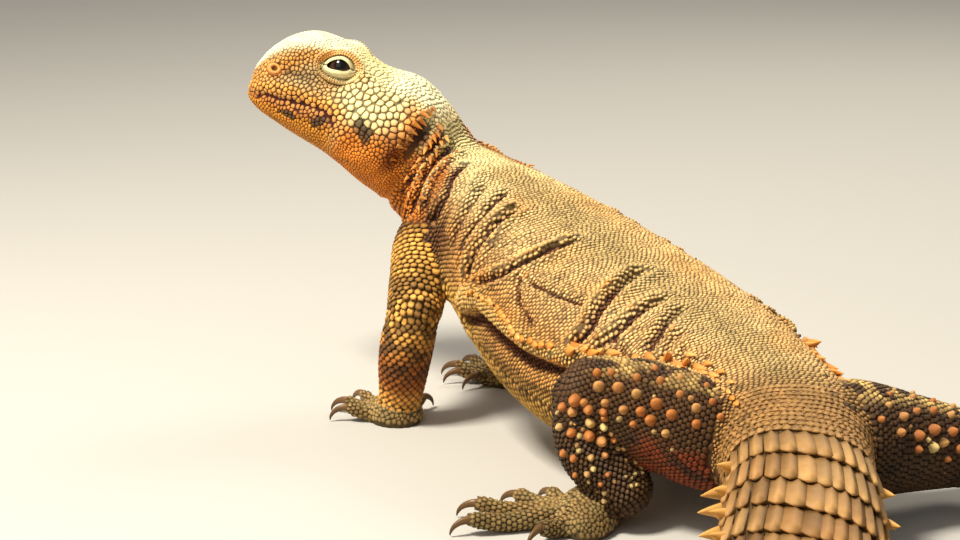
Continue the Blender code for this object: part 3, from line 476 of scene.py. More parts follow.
def bodyTone(at, angle, pos):
    side, relief = sideAngle(angle), bodyRelief(at, angle)
    soft, fine = blotch(pos, 26, 1), blotch(pos, 6, 2)
    tone = trunkTone(at, side, relief, soft, fine)
    tone = mix(tone, collarTone(at, side, relief, fine), step(at, 44, 50) * (1 - step(at, 66, 76)))
    tone = mix(tone, faceTone(at, side, soft, fine), 1 - step(at, 44, 50))
    tailTone = painted(tones["tail"], ("tailPale", 0.5 + 0.4 * soft), ("chin", 0.4 * step(-side, 20, 60)))
    tone = mix(tone, tailTone, step(at, 196, 214))
    return tone * (1 + 0.10 * fine)[:, None]


def limbTone(name, part, out, pos):
    # part runs from 0 at the body to 1 at the far joint; out is how far a place faces the sky, from -1 to 1
    fine = blotch(pos, 5, 8)
    if "forearm" in name:
        tone = painted(
            tones["arm"],
            ("armLow", step(part, 0.1, 0.6)),
            ("armDark", 0.8 * step(fine, -0.5, 0.3) * (1 - step(part, 0.55, 0.85))),
            ("arm", 0.6 * step(part, 0.75, 1.0)),
        )
    elif "Arm" in name:
        tone = painted(
            tones["arm"],
            # painted shade where the arm leaves the body
            ("shoulder", 0.92 * (1 - step(part, 0.36, 0.6))),
            ("armDark", 0.7 * step(part, 0.6, 0.9) * step(fine, -0.6, 0.2)),
        )
    elif "thigh" in name:
        near = "Left" in name
        tone = painted(
            tones["thigh"],
            ("thighUnder", step(-out, -0.05, 0.25) * (1 - step(part, 0.55, 0.75)) * near),
            # painted shade on the underside, in blotches
            ("dark", 0.7 * step(-out, 0, 0.3) * step(blotch(pos, 7, 31), 0.45, 0.7)),
        )
        tone = painted(
            # painted shadow over the far thigh
            tone * (1 if near else 0.7),
            # painted light on the top, where it faces the sky
            ("ridge", 0.75 * step(out, 0.72, 0.92) * step(fine, -0.5, 0.4)),
            ("shank", 0.6 * step(fine, 0.2, 0.8)),
        )
    elif "shank" in name:
        tone = painted(tones["shank"], ("thigh", 0.5 * step(fine, 0.0, 0.9)))
    else:
        tone = painted(tones["foot"], ("hand", step(fine, -0.5, 0.5)))
    return tone * (1 + 0.12 * fine)[:, None]


def setMarks(mesh, tone):
    marks = mesh.color_attributes.new("markingsAndShade", "FLOAT_COLOR", "POINT")
    colours = np.c_[np.clip(tone, 0, 1), np.ones(len(tone))]
    marks.data.foreach_set("color", colours.astype(np.float32).ravel())


def meshFrom(name, points, faces, tone=None, patch=None):
    points = np.asarray(points, float)
    points = np.c_[points[:, :2], np.maximum(points[:, 2], -shift[2])]  # nothing reaches below the floor
    mesh = bpy.data.meshes.new(name)
    faces = np.asarray(faces, np.int32)
    mesh.vertices.add(len(points))
    mesh.vertices.foreach_set("co", toWorld(points).astype(np.float32).ravel())
    mesh.loops.add(faces.size)
    mesh.loops.foreach_set("vertex_index", faces.ravel())
    mesh.polygons.add(len(faces))
    mesh.polygons.foreach_set("loop_start", np.arange(0, faces.size, faces.shape[1], dtype=np.int32))
    mesh.update(calc_edges=True)
    mesh.polygons.foreach_set("use_smooth", np.ones(len(faces), bool))
    if tone is not None:
        setMarks(mesh, tone)
    if patch is not None:
        layer = mesh.uv_layers.new(name="OFBake")
        layer.data.foreach_set("uv", np.asarray(patch, np.float32)[faces.ravel()].ravel())
    obj = bpy.data.objects.new(name, mesh)
    bpy.context.scene.collection.objects.link(obj)
    return obj


def gridFaces(rings, around):
    # the faces between rings of points, each ring closed
    i = np.arange(rings - 1)[:, None] * around
    j = np.arange(around)[None, :]
    k = (j + 1) % around
    return np.stack((i + j, i + around + j, i + around + k, i + k), axis=-1).reshape(-1, 4)


def facesOutwards(obj, weld=0, close=False):
    # merges doubles nearer than weld, closes open ends and turns every face outwards
    bm = bmesh.new()
    bm.from_mesh(obj.data)
    if weld:
        bmesh.ops.remove_doubles(bm, verts=bm.verts, dist=weld)
    if close:
        bmesh.ops.holes_fill(bm, edges=bm.edges, sides=0)
    bmesh.ops.recalc_face_normals(bm, faces=bm.faces)
    bm.to_mesh(obj.data)
    bm.free()
    return obj


def tubeMesh(name, point, places, around, grow=0.0):
    angles = np.arange(around) * 360 / around
    at, angle = np.repeat(places, around), np.tile(angles, len(places))
    points = point(at, angle, grow)
    caps = np.array([points[:around].mean(axis=0), points[-around:].mean(axis=0)])
    last = len(points)
    obj = meshFrom(name, np.vstack((points, caps)), gridFaces(len(places), around))
    bm = bmesh.new()
    bm.from_mesh(obj.data)
    bm.verts.ensure_lookup_table()
    for pole, start in ((last, 0), (last + 1, (len(places) - 1) * around)):
        for j in range(around):
            a, b = bm.verts[start + j], bm.verts[start + (j + 1) % around]
            bm.faces.new((bm.verts[pole], a, b))
    bmesh.ops.recalc_face_normals(bm, faces=bm.faces)
    bm.to_mesh(obj.data)
    bm.free()
    return obj


skinLook = {  # one closed shell through the body, the limbs and the toes
    "voxel": 0.84, "depth": 0.35,  # how fine the skin is, and how deep it lies under the scales
    "creaseReach": 2.6, "creaseRounds": 14,  # how far and how much it is rounded where limbs leave the body
    "trunk": (0.9, 120), "limb": (60, 36), "toe": (26, 20),  # step or number of rings, points round each
}
palmLift = (0, 0, 1.6)  # a palm's middle above its place on the floor


def palmMesh(name, foot):
    bpy.ops.mesh.primitive_uv_sphere_add(segments=28, ring_count=18, radius=1, location=(0, 0, 0))
    palm = bpy.context.object
    palm.name = name
    width, length, height = foot["size"]
    middle = toWorld(np.array(foot["palm"], float) + palmLift)
    palm.data.transform(Matrix.Translation(middle) @ Matrix.Rotation(math.radians(foot["turn"]), 4, "Z")
                        @ Matrix.Diagonal((width * mm, length * mm, height * mm, 1)))
    return palm


def joinAll(parts, name):
    bpy.ops.object.select_all(action="DESELECT")
    for part in parts:
        part.select_set(True)
    bpy.context.view_layer.objects.active = parts[0]
    bpy.ops.object.join()
    parts[0].name = parts[0].data.name = name
    parts[0].select_set(False)
    return parts[0]


def treeOf(obj):
    graph = bpy.context.evaluated_depsgraph_get()
    return BVHTree.FromObject(obj, graph)


def farFrom(tree, points):
    found = np.empty(len(points))
    for i, p in enumerate(points):
        found[i] = tree.find_nearest(Vector(p))[3]
    return found


def smoothed(skin, name, rounds, group=""):
    smoothing = skin.modifiers.new(name, "SMOOTH")
    smoothing.factor, smoothing.iterations, smoothing.vertex_group = 0.5, rounds, group
    bpy.ops.object.modifier_apply(modifier=name)


def makeSkin():
    depth = -skinLook["depth"]
    gap, around = skinLook["trunk"]
    places = np.arange(bodyKnots[0], bodyLength + 0.4, gap).clip(max=bodyLength)
    trunk = tubeMesh("trunk", bodyPoint, places, around, depth)
    parts = []
    for name, limb in {**limbs, **toes}.items():
        rings, around = skinLook["limb" if name in limbs else "toe"]
        places = np.linspace(limb["first"], limb["last"], rings)
        parts.append(tubeMesh(name, limb["point"], places, around, depth))
    parts += [palmMesh(name, foot) for name, foot in feet.items()]
    trunkTree = treeOf(trunk)
    limbTree = treeOf(joinAll(parts, "limbs"))
    skin = joinAll([trunk, parts[0]], "skin")
    remesh = skin.modifiers.new("oneSkin", "REMESH")
    remesh.mode = "VOXEL"
    remesh.voxel_size = skinLook["voxel"] * mm
    bpy.context.view_layer.objects.active = skin
    bpy.ops.object.modifier_apply(modifier="oneSkin")
    points = meshPoints(skin)
    crease = np.maximum(farFrom(trunkTree, points), farFrom(limbTree, points)) / mm
    weights = 1 - step(crease, 0.5, skinLook["creaseReach"])
    group = skin.vertex_groups.new(name="creases")
    for i in np.nonzero(weights > 0.01)[0]:
        group.add([int(i)], float(weights[i]), "REPLACE")
    smoothed(skin, "roundCreases", skinLook["creaseRounds"], "creases")
    smoothed(skin, "settle", 1)
    skin.vertex_groups.clear()
    points = meshPoints(skin)
    points[:, 2] = np.maximum(points[:, 2], 0.0)
    skin.data.vertices.foreach_set("co", points.ravel())
    skin.data.polygons.foreach_set("use_smooth", np.ones(len(skin.data.polygons), bool))
    skin.data.update()
    return skin


skin = makeSkin()
skinTree = treeOf(skin)
print("skin", len(skin.data.polygons) * 2, "triangles")


# scales that share the skin between them, each a low dome in its own cell
unrolled = {"left": 0.03, "width": 0.44, "low": 0.02, "height": 0.95}  # the body's part of the UV map


def uvAt(name, at, angle):
    # the skin unrolled: the body along the left, each limb and toe in a cell of its own on the right
    if name == "body":
        return np.c_[unrolled["left"] + unrolled["width"] * (angle % 360) / 360,
                     unrolled["low"] + unrolled["height"] * at / bodyLength]
    cells = list(limbs) + list(toes) + list(feet)
    row, column = divmod(cells.index(name), 6)
    tube = limbs.get(name) or toes.get(name)
    length = tube["length"] if tube else 14
    return np.c_[0.51 + 0.078 * column + 0.068 * (angle % 360) / 360,
                 0.03 + 0.155 * row + 0.13 * np.clip(at / length, 0, 1)]


def bodyPlace(uv):
    # the way back, from the body's part of the UV map to a place and an angle
    return ((uv[:, 1] - unrolled["low"]) / unrolled["height"] * bodyLength,
            (uv[:, 0] - unrolled["left"]) / unrolled["width"] * 360)


def seedsOn(name, point, at, angle, wide, long, height, tone, rear=None):
    # places for scales, with the way that each points and the skin's outward way there
    at, angle = np.asarray(at, float), np.asarray(angle, float)
    pos = point(at, angle)
    ahead, behind = point(at - 0.5, angle), point(at + 0.5, angle)
    one, other = point(at, angle - 2), point(at, angle + 2)
    along = unit(behind - ahead)
    normal = unit(np.cross(other - one, along))
    centre = (point(at, angle + 90) + point(at, angle + 270)) / 2
    normal *= np.sign(np.einsum("ij,ij->i", normal, pos - centre) + 1e-9)[:, None]
    n = len(at)
    spread = lambda v: np.broadcast_to(np.asarray(v, float), (n,)).copy()
    return {"pos": pos, "normal": normal, "rear": along if rear is None else rear, "wide": spread(wide),
            "long": spread(long), "height": spread(height), "tone": tone, "uv": uvAt(name, at, angle)}


def joinSeeds(groups):
    return {key: np.concatenate([group[key] for group in groups]) for key in groups[0]}


def keepSeeds(seeds, keep):
    return {key: value[keep] for key, value in seeds.items()}


def settleSeeds(seeds, reach=1.6, floor=0.25):
    # onto the finished skin; what lies deep inside another limb is left out
    keep = np.ones(len(seeds["pos"]), bool)
    world = toWorld(seeds["pos"])
    for i, p in enumerate(world):
        place, normal, _, away = skinTree.find_nearest(Vector(p))
        if away > reach * mm or place.z < floor * mm:
            keep[i] = False
            continue
        seeds["pos"][i] = np.array(place) / mm - shift
        blend = unit(seeds["normal"][i] * 0.6 + np.array(normal) * 0.8)
        if seeds["normal"][i] @ np.array(normal) < 0.1:
            keep[i] = False
        seeds["normal"][i] = blend
    return keepSeeds(seeds, keep)


def thinSeeds(seeds, share=0.62):
    # drops a later scale that stands on an earlier one
    tree = pointTree(seeds["pos"])
    keep = np.ones(len(seeds["pos"]), bool)
    size = np.minimum(seeds["wide"], seeds["long"])
    for i, p in enumerate(seeds["pos"]):
        for _, j, away in tree.find_range(Vector(p), size[i] * share):
            if j < i and keep[j] and away < share * (size[i] + size[j]) / 2:
                keep[i] = False
                break
    return keepSeeds(seeds, keep)


def cellScales(name, seeds, look):
    # each scale fills the cell between its neighbours
    pos, normal = seeds["pos"], seeds["normal"]
    rear = unit(seeds["rear"] - normal * np.einsum("ij,ij->i", seeds["rear"], normal)[:, None])
    across = np.cross(rear, normal)
    n, sides = len(pos), look["sides"]
    tree = pointTree(pos)
    near = np.zeros((n, 9), int)
    for i, p in enumerate(pos):
        found = [j for _, j, _ in tree.find_n(Vector(p), 10) if j != i][:9]
        near[i, :len(found)] = found
        near[i, len(found):] = found[-1] if found else i
    rel = pos[near] - pos[:, None]
    x, y = np.einsum("nkc,nc->nk", rel, across), np.einsum("nkc,nc->nk", rel, rear)
    d2 = np.maximum(x * x + y * y, 1e-6)
    size = (seeds["wide"] + seeds["long"]) / 4
    half = np.clip(0.5 * (1 + (size[:, None] ** 2 - size[near] ** 2) / d2), 0.3, 0.7)
    theta = (np.arange(sides) + 0.5) * 2 * math.pi / sides
    c, s = np.cos(theta), np.sin(theta)
    facing = (x[..., None] * c + y[..., None] * s) / np.sqrt(d2)[..., None]
    reach = half[..., None] * np.sqrt(d2)[..., None] / np.maximum(facing, 0.12)
    reach = np.where(facing > 0.12, reach, 1e9).min(axis=1)
    wide, long = seeds["wide"][:, None], seeds["long"][:, None]
    most = 1 / np.sqrt((c / (wide * 0.68)) ** 2 + (s / (long * 0.66)) ** 2)
    reach = np.minimum(reach, most) * (1 - look["gap"] - look["front"] * np.maximum(-s, 0))
    height = seeds["height"][:, None]
    layers, shades = [], []
    back = np.maximum(s, 0)[None, :]
    for share, rise, shade in look["layers"]:
        r = reach * share + back * look["overlap"] * long * (rise > 0)
        z = height * (rise + look["tilt"] * s[None, :] * share * (rise > 0)) - (rise <= 0) * look["root"]
        layer = pos[:, None] + across[:, None] * (r * c)[..., None] + rear[:, None] * (r * s)[..., None]
        layers.append(layer + normal[:, None] * z[..., None])
        # painted light and shade: dark at the root and along the front and rear edges, bright at the peak
        ahead = np.maximum(-s, 0)[None, :]
        edgeShade = look["rearShade"] * back + look["frontShade"] * ahead
        shades.append(shade * (1 - edgeShade * (rise > 0)) * np.ones((n, 1)))
    tip = pos + normal * (height * look["crown"]) + rear * (look["point"] * seeds["long"])[:, None]
    points = np.concatenate(layers + [tip[:, None]], axis=1)
    shade = np.concatenate(shades + [np.full((n, 1), look["crownShade"])], axis=1)
    count = len(look["layers"])
    faces = []
    for level in range(count - 1):
        for j in range(sides):
            k = (j + 1) % sides
            a, b = level * sides, (level + 1) * sides
            faces += [(a + j, a + k, b + k), (a + j, b + k, b + j)]
    top = (count - 1) * sides
    faces += [(top + j, top + (j + 1) % sides, count * sides) for j in range(sides)]
    return stampMesh(name, points, np.array(faces), seeds, shade, across, rear)


def stampMesh(name, points, faces, seeds, shade, across, rear):
    # points: one set for each scale; pieces stay under 200,000 triangles
    n, per = points.shape[:2]
    local = points - seeds["pos"][:, None]
    size = np.maximum(seeds["wide"], seeds["long"])[:, None]
    patch = np.stack((np.einsum("nvc,nc->nv", local, across), np.einsum("nvc,nc->nv", local, rear)), axis=-1)
    patch = seeds["uv"][:, None] + np.clip(patch / size[..., None], -0.6, 0.6) * 0.0026
    tone = seeds["tone"][:, None] * shade[..., None]
    pieces = []
    most = 190000 // len(faces)  # copies in one piece
    parts = max(1, math.ceil(n / most))
    for part in range(parts):
        some = slice(part * n // parts, (part + 1) * n // parts)
        count = some.stop - some.start
        index = (faces[None] + np.arange(count)[:, None, None] * per).reshape(-1, 3)
        title = name if parts == 1 else f"{name}{part + 1}"
        pieces.append(meshFrom(title, points[some].reshape(-1, 3), index, tone[some].reshape(-1, 3),
                               patch[some].reshape(-1, 2)))
    return pieces


rowLook = {  # small scales in rows round the trunk
    "sides": 8, "gap": 0.02, "front": 0.30,  # the gap round a scale and in front of it, as shares of its size
    "overlap": 0.08, "point": 0.10,  # how far its rear edge and its peak reach back
    "tilt": 0.60, "root": 0.22, "crown": 1.15,  # how much the rear rises, how deep it stands, how high it is
    "layers": ((1.0, 0.0, 0.10), (0.80, 0.74, 0.92)),  # share of the width, height, painted light and shade
    # painted shade along the rear and front edges, painted light at the peak
    "rearShade": 0.15, "frontShade": 0.80, "crownShade": 1.18,
}
plateLook = {  # irregular plates of the head
    "sides": 10, "gap": 0.07, "front": 0.0, "overlap": 0.03, "point": 0.0, "tilt": 0.18, "root": 0.25,
    # layers: share of the width, height, painted light and shade; then painted shade at the edges and painted
    # light at the peak
    "crown": 1.0, "layers": ((1.0, 0.0, 0.14), (0.90, 0.62, 0.72), (0.64, 0.96, 1.02)),
    "rearShade": 0.10, "frontShade": 0.12, "crownShade": 1.08,
}
limbLook = {  # overlapping pointed scales of the limbs, their rear edges in painted shade
    "sides": 8, "gap": 0.03, "front": 0.16, "overlap": 0.24, "point": 0.24, "tilt": 0.62, "root": 0.22,
    # layers: share of the width, height, painted light and shade; then painted shade at the edges and painted
    # light at the peak
    "crown": 1.15, "layers": ((1.0, 0.0, 0.08), (0.90, 0.62, 0.62), (0.45, 1.0, 1.10)),
    "rearShade": 0.48, "frontShade": 0.35, "crownShade": 1.15,
}


def ringRows(point, places, gap, first, last, wave=0.0):
    # evenly spaced places on rings round a tube, between two angles, every second ring shifted by half a gap
    ats, angles = [], []
    fine = np.linspace(first, last, 200)
    for row, at in enumerate(places):
        run = farAlong(point(np.full(200, at), fine))
        count = max(2, int(run[-1] / gap))
        steps = (np.arange(count) + (0.5 if row % 2 else 0.0)) * run[-1] / count
        found = np.interp(steps, run, fine)
        wavy = wave * np.sin(found * 0.11 + at * 0.35) + wave * 0.6 * np.sin(found * 0.31 - at * 0.2)
        ats.append(at + wavy)
        angles.append(found)
    return np.concatenate(ats), np.concatenate(angles)


trunkRows = {  # step from row to row, a scale's share of the row, angles, waviness, and width, length, height
    "upper": {"step": 0.86, "gap": 1.3, "angles": (-16, 196), "wave": 0.26, "size": (1.42, 0.90, 0.34)},
    "under": {"step": 1.35, "gap": 1.55, "angles": (198, 342), "wave": 0.15, "size": (1.75, 1.35, 0.40)},
}


def makeTrunkScales():
    rng = np.random.default_rng(21)
    groups = []
    for rows in trunkRows.values():
        places = np.arange(48, 212, rows["step"])
        at, angle = ringRows(bodyPoint, places, rows["gap"], *rows["angles"], rows["wave"])
        at = at + rng.uniform(-0.08, 0.08, len(at))
        angle = angle + rng.uniform(-0.35, 0.35, len(at))
        keep = (at > 47.2) & (at < 204)
        at, angle = at[keep], angle[keep]
        tone = bodyTone(at, angle, bodyPoint(at, angle)) * rng.uniform(0.84, 1.12, (len(at), 1))
        swell = 1 + 0.18 * step(bodyRelief(at, angle), 0.5, 1.8)
        wide, long, height = rows["size"]
        height = height * swell * swell
        groups.append(seedsOn("body", bodyPoint, at, angle, wide * swell, long * swell, height, tone))
    return joinSeeds(groups)


def headSize(at, side):
    # how far apart the head's plates stand
    size = np.full(len(at), 0.96)
    size = size + 0.80 * step(at, 19, 26) * step(side, 0, 8) * (1 - step(side, 40, 56))
    size = size + 0.25 * step(at, 24, 30) * step(side, 44, 62)
    size = size - 0.20 * step(side, 50, 62) * (1 - step(at, 22, 28))
    size = size + 0.35 * bulge(at - 27, 4) * bulge(side + 2, 8)
    size = size + 0.30 * bulge(side - 9, 5) * (1 - step(at, 22, 26))
    size = size - 0.20 * bulge(at - 21.5, 6) * bulge(side - 42, 16)
    size = size - 0.35 * step(-side, 6, 18)
    size = size - 0.60 * step(at, 40, 43) * (1 - step(side, 40, 60))
    return np.clip(size, 0.72, 2.1)


nostril = {"at": 6.2, "angles": (27.0, 153.0)}
headPlates = {  # how many places are tried, how near they may stand, and how far from eye and nostril
    "tries": 110000, "share": 0.43, "eye": 5.3, "nostril": 1.9, "grid": 2.2,
}
aroundCell = [(x, y, z) for x in (-1, 0, 1) for y in (-1, 0, 1) for z in (-1, 0, 1)]


def makeHeadScales():
    rng = np.random.default_rng(33)
    at = rng.uniform(0.8, 48.2, headPlates["tries"])
    angle = rng.uniform(-180, 180, headPlates["tries"])
    side = sideAngle(angle)
    pos = bodyPoint(at, angle)
    size = headSize(at, side)
    eyes = [headPlace(head["eye"][0], head["eye"][1] * way, head["eye"][2]) for way in (1, -1)]
    groove = linesRelief(at, angle, headLines[1:2], headPerDegree, 0)
    away = np.min([np.linalg.norm(pos - eye, axis=1) for eye in eyes], axis=0)
    ear = (np.abs(at - 45.0 - 0.02 * (side - 30)) < 1.5) & (np.abs(side - 20) < 26)
    good = (away > headPlates["eye"]) & (groove > -0.62) & ~ear  # clear of the eyes, the mouth and the ears
    nostrils = [bodyPoint([nostril["at"]], [angle])[0] for angle in nostril["angles"]]
    good &= np.min([np.linalg.norm(pos - n, axis=1) for n in nostrils], axis=0) > headPlates["nostril"]

    def clash(i, j):
        apart, gap = pos[i] - pos[j], (size[i] + size[j]) * headPlates["share"]
        return apart @ apart < gap * gap

    taken, kept = {}, []  # on a coarse grid, so that a place is held against its neighbours alone
    for i in np.nonzero(good)[0]:
        key = tuple((pos[i] // headPlates["grid"]).astype(int))
        boxes = ((key[0] + x, key[1] + y, key[2] + z) for x, y, z in aroundCell)
        if not any(clash(i, j) for box in boxes for j in taken.get(box, ())):
            taken.setdefault(key, []).append(i)
            kept.append(i)
    kept = np.array(kept)
    at, angle, pos, size = at[kept], angle[kept], pos[kept], size[kept]
    tone = bodyTone(at, angle, pos) * rng.uniform(0.88, 1.10, (len(at), 1))
    return seedsOn("body", bodyPoint, at, angle, size * 1.22, size * 1.10, 0.08 + 0.20 * size, tone)


limbCover = {  # how far apart the scales stand, and their height
    "arm": (1.8, 0.55), "leg": (1.4, 0.48), "toe": (1.25, 0.34), "palm": (1.15, 0.34), "palmCount": 1260,
}


def makeLimbScales():
    rng = np.random.default_rng(45)
    groups = []
    for name, limb in limbs.items():
        gap, height = limbCover["arm" if "rm" in name else "leg"]
        places = np.arange(limb["first"] + 0.6, limb["last"] - 0.4, gap * 0.60)
        at, angle = ringRows(limb["point"], places, gap, 0, 360)
        at = at + rng.uniform(-0.12, 0.12, len(at))
        pos = limb["point"](at, angle)
        seeds = seedsOn(name, limb["point"], at, angle, gap * 1.1, gap * 0.95, height, None)
        seeds["tone"] = limbTone(name, np.clip(at / limb["length"], 0, 1), seeds["normal"][:, 2], pos)
        seeds["tone"] *= rng.uniform(0.80, 1.15, (len(at), 1))
        groups.append(seeds)
    size, height = limbCover["toe"]
    for name, toe in toes.items():
        at, angle = ringRows(toe["point"], np.arange(0.5, toe["last"] - 0.3, 1.15), 1.2, 0, 360)
        tone = limbTone(name, at / toe["length"], 0 * at, toe["point"](at, angle))
        tone = tone * rng.uniform(0.82, 1.12, (len(at), 1))
        groups.append(seedsOn(name, toe["point"], at, angle, size, size, height, tone))
    count = limbCover["palmCount"]
    size, height = limbCover["palm"]
    for name, foot in feet.items():
        spin, lift = rng.uniform(0, 360, count), rng.uniform(0.0, 1.0, count)
        way, turn, flat = np.radians(spin), math.radians(foot["turn"]), np.sqrt(1 - lift**2)
        width, length, tall = foot["size"]
        x, y = np.cos(way) * flat * width, np.sin(way) * flat * length
        spun = np.stack((x * math.cos(turn) - y * math.sin(turn),
                         x * math.sin(turn) + y * math.cos(turn), lift * tall), axis=1)
        pos = np.array(foot["palm"], float) + palmLift + spun
        seeds = {
            "pos": pos, "normal": unit(spun / np.array(foot["size"]) ** 2),
            "rear": np.broadcast_to(heading(foot["ways"][2]), pos.shape).copy(),
            "wide": np.full(count, size), "long": np.full(count, size), "height": np.full(count, height),
            "tone": limbTone(name, 0 * spin, 0 * spin, pos) * rng.uniform(0.8, 1.12, (count, 1)),
            "uv": uvAt(name, lift * 14, spin),
        }
        groups.append(seeds)
    return joinSeeds(groups)


trunkSeeds = settleSeeds(makeTrunkScales())
headSeeds = settleSeeds(makeHeadScales())
limbSeeds = settleSeeds(makeLimbScales())
coats = (
    ("headPlates", headSeeds, plateLook), ("trunkScales", trunkSeeds, rowLook),
    ("limbScales", limbSeeds, limbLook),
)
print("scales", [len(seeds["pos"]) for title, seeds, look in coats])
everySeed = joinSeeds([seeds for title, seeds, look in coats])
everySeed["kind"] = np.repeat([0, 1, 2], [len(seeds["pos"]) for title, seeds, look in coats])
everySeed = thinSeeds(everySeed)
coat = []
for i, (title, seeds, look) in enumerate(coats):
    coat += cellScales(title, keepSeeds(everySeed, everySeed["kind"] == i), look)
print("coat", sum(len(piece.data.polygons) for piece in coat), "triangles")


# forms that are modelled once and copied: tail plates, spikes and knobs
def pick(test):
    # selects the vertices of the mesh in edit mode that pass a test on their place
    bm = bmesh.from_edit_mesh(bpy.context.object.data)
    bm.select_mode = {"VERT"}
    for vert in bm.verts:
        vert.select = bool(test(vert.co))
    bm.select_flush(True)
    bm.select_flush(False)
    bmesh.update_edit_mesh(bpy.context.object.data)


def takeShape():
    # the active object's points and triangles, then the object goes
    obj = bpy.context.object
    bpy.ops.object.mode_set(mode="EDIT")
    bpy.ops.mesh.select_all(action="SELECT")
    bpy.ops.mesh.normals_make_consistent(inside=False)
    bpy.ops.mesh.quads_convert_to_tris()
    bpy.ops.object.mode_set(mode="OBJECT")
    points = np.array([tuple(v.co) for v in obj.data.vertices])
    faces = np.array([tuple(p.vertices) for p in obj.data.polygons])
    bpy.data.objects.remove(obj)
    return points, faces


def plateShape():
    # a keeled plate, 1 wide and 1 long from y = 0, its rear edge raised and pointed
    bpy.ops.mesh.primitive_cube_add(size=1, location=(0, 0.5, 0))
    bpy.ops.object.transform_apply(location=True)
    bpy.ops.object.mode_set(mode="EDIT")
    bpy.ops.mesh.subdivide(number_cuts=3)
    for reach, drop in ((0.5, -0.20), (0.25, -0.10), (0.0, 0.14)):
        pick(lambda co: abs(abs(co.x) - reach) < 0.05 and co.z > 0.4)
        bpy.ops.transform.translate(value=(0, 0, drop))
    for place, drop in ((0.0, -0.46), (0.25, -0.26), (0.5, -0.14), (0.75, -0.04), (1.0, 0.04)):
        pick(lambda co: abs(co.y - place) < 0.05 and co.z > 0.1)
        bpy.ops.transform.translate(value=(0, 0, drop))
    for reach, push in ((0.0, 0.13), (0.25, 0.07), (0.5, -0.01)):
        pick(lambda co: co.y > 0.9 and abs(abs(co.x) - reach) < 0.05 and co.z > 0.05)
        bpy.ops.transform.translate(value=(0, push, 0))
    pick(lambda co: co.y > 0.85 and co.z < -0.1)
    bpy.ops.transform.translate(value=(0, -0.16, 0.1))
    bpy.ops.object.mode_set(mode="OBJECT")
    return takeShape()


def grownShape(sides, foot, rows, tip):
    # a circle 1 wide, extruded by a rise and a lean and then narrowed at each step, and merged to a point
    bpy.ops.mesh.primitive_circle_add(vertices=sides, radius=0.5, fill_type="NGON", location=(0, 0, foot))
    bpy.ops.object.transform_apply(location=True)
    bpy.ops.object.mode_set(mode="EDIT")
    bpy.ops.mesh.select_all(action="SELECT")
    for rise, lean, shrink in rows:
        bpy.ops.mesh.extrude_region_move(TRANSFORM_OT_translate={"value": (0, lean, rise)})
        bpy.ops.transform.resize(value=(shrink, shrink, 1))
    bpy.ops.mesh.extrude_region_move(TRANSFORM_OT_translate={"value": tip})
    bpy.ops.mesh.merge(type="CENTER")
    bpy.ops.object.mode_set(mode="OBJECT")
    return takeShape()


def spikeShape(sides=8):
    # 1 long, leaning towards its tip
    rows = ((0.20, 0.0, 0.92), (0.22, 0.02, 0.78), (0.22, 0.04, 0.70), (0.20, 0.06, 0.58), (0.16, 0.06, 0.40))
    return grownShape(sides, -0.12, rows, (0, 0.02, 0.08))


def knobShape(sides=12):
    # a rounded cone, 1 high, with a low skirt
    rows = [(rise, 0.015, shrink) for rise, shrink in
            ((0.18, 1.0), (0.24, 0.92), (0.26, 0.80), (0.20, 0.62), (0.14, 0.42))]
    return grownShape(sides, -0.15, rows, (0, 0, 0.05))


def stampShape(name, shape, seeds, dark=0.35, flat=False):
    # copies a shape to every seed, each copy with painted shade at its root and painted light towards its top
    base, faces = shape
    pos, normal = seeds["pos"], unit(seeds["normal"])
    rear = unit(seeds["rear"] - normal * np.einsum("ij,ij->i", seeds["rear"], normal)[:, None])
    across = np.cross(rear, normal)
    x, y, z = base.T
    points = (pos[:, None] + across[:, None] * (x * seeds["wide"][:, None])[..., None]
              + rear[:, None] * (y * seeds["long"][:, None])[..., None]
              + normal[:, None] * (z * seeds["height"][:, None])[..., None])
    level = np.clip((z - z.min()) / (z.max() - z.min()), 0, 1)
    streak = 1 - 0.20 * (np.sin(x * 23 + np.arange(len(pos))[:, None] * 2.1) > 0.1) * (np.abs(y - 0.5) < 0.45)
    if flat:  # a plate: painted shade in front and at its sides, painted light along the keel and the rear edge
        level = np.where(z > -0.45, np.clip(0.28 + 0.62 * y, 0, 1) * (1 - 0.9 * np.abs(x)), 0.0)
    shade = np.broadcast_to(dark + (1.12 - dark) * level**0.8, (len(pos), len(z))) * (streak if flat else 1)
    return stampMesh(name, points, faces, seeds, shade, across, rear)


tail = {  # places in millimetres from the snout
    "firstEnd": 212.5, "length": 10.0, "lastLength": 3.4,  # whorls, from the tail's base to its tip
    "early": (186.0, 187.5, 189.0, 190.5, 192.0, 193.5, 195.1, 196.7, 198.3, 200.0, 201.9, 204.2),  # rump
    "plateWidth": 2.9, "rise": 1.5, "spikes": ((-6.0, 5.0), (12.0, 3.6)), "spikeWidth": 3.2,
    "above": (-14, 194), "under": (194, 346), "tip": 3.2,  # from and to which angle; the last spike's width
}


def whorls():
    ends = [tail["firstEnd"]]
    while ends[-1] < bodyLength - tail["lastLength"]:
        left = (bodyLength - ends[-1]) / (bodyLength - tail["firstEnd"])
        longer = (tail["length"] - tail["lastLength"]) * min(1, left * 1.25)
        ends.append(ends[-1] + tail["lastLength"] + longer)
    ends = ends[:-1] + [bodyLength]
    early = tail["early"]
    return list(zip(early, early[1:] + (ends[0],))) + list(zip(ends, ends[1:]))


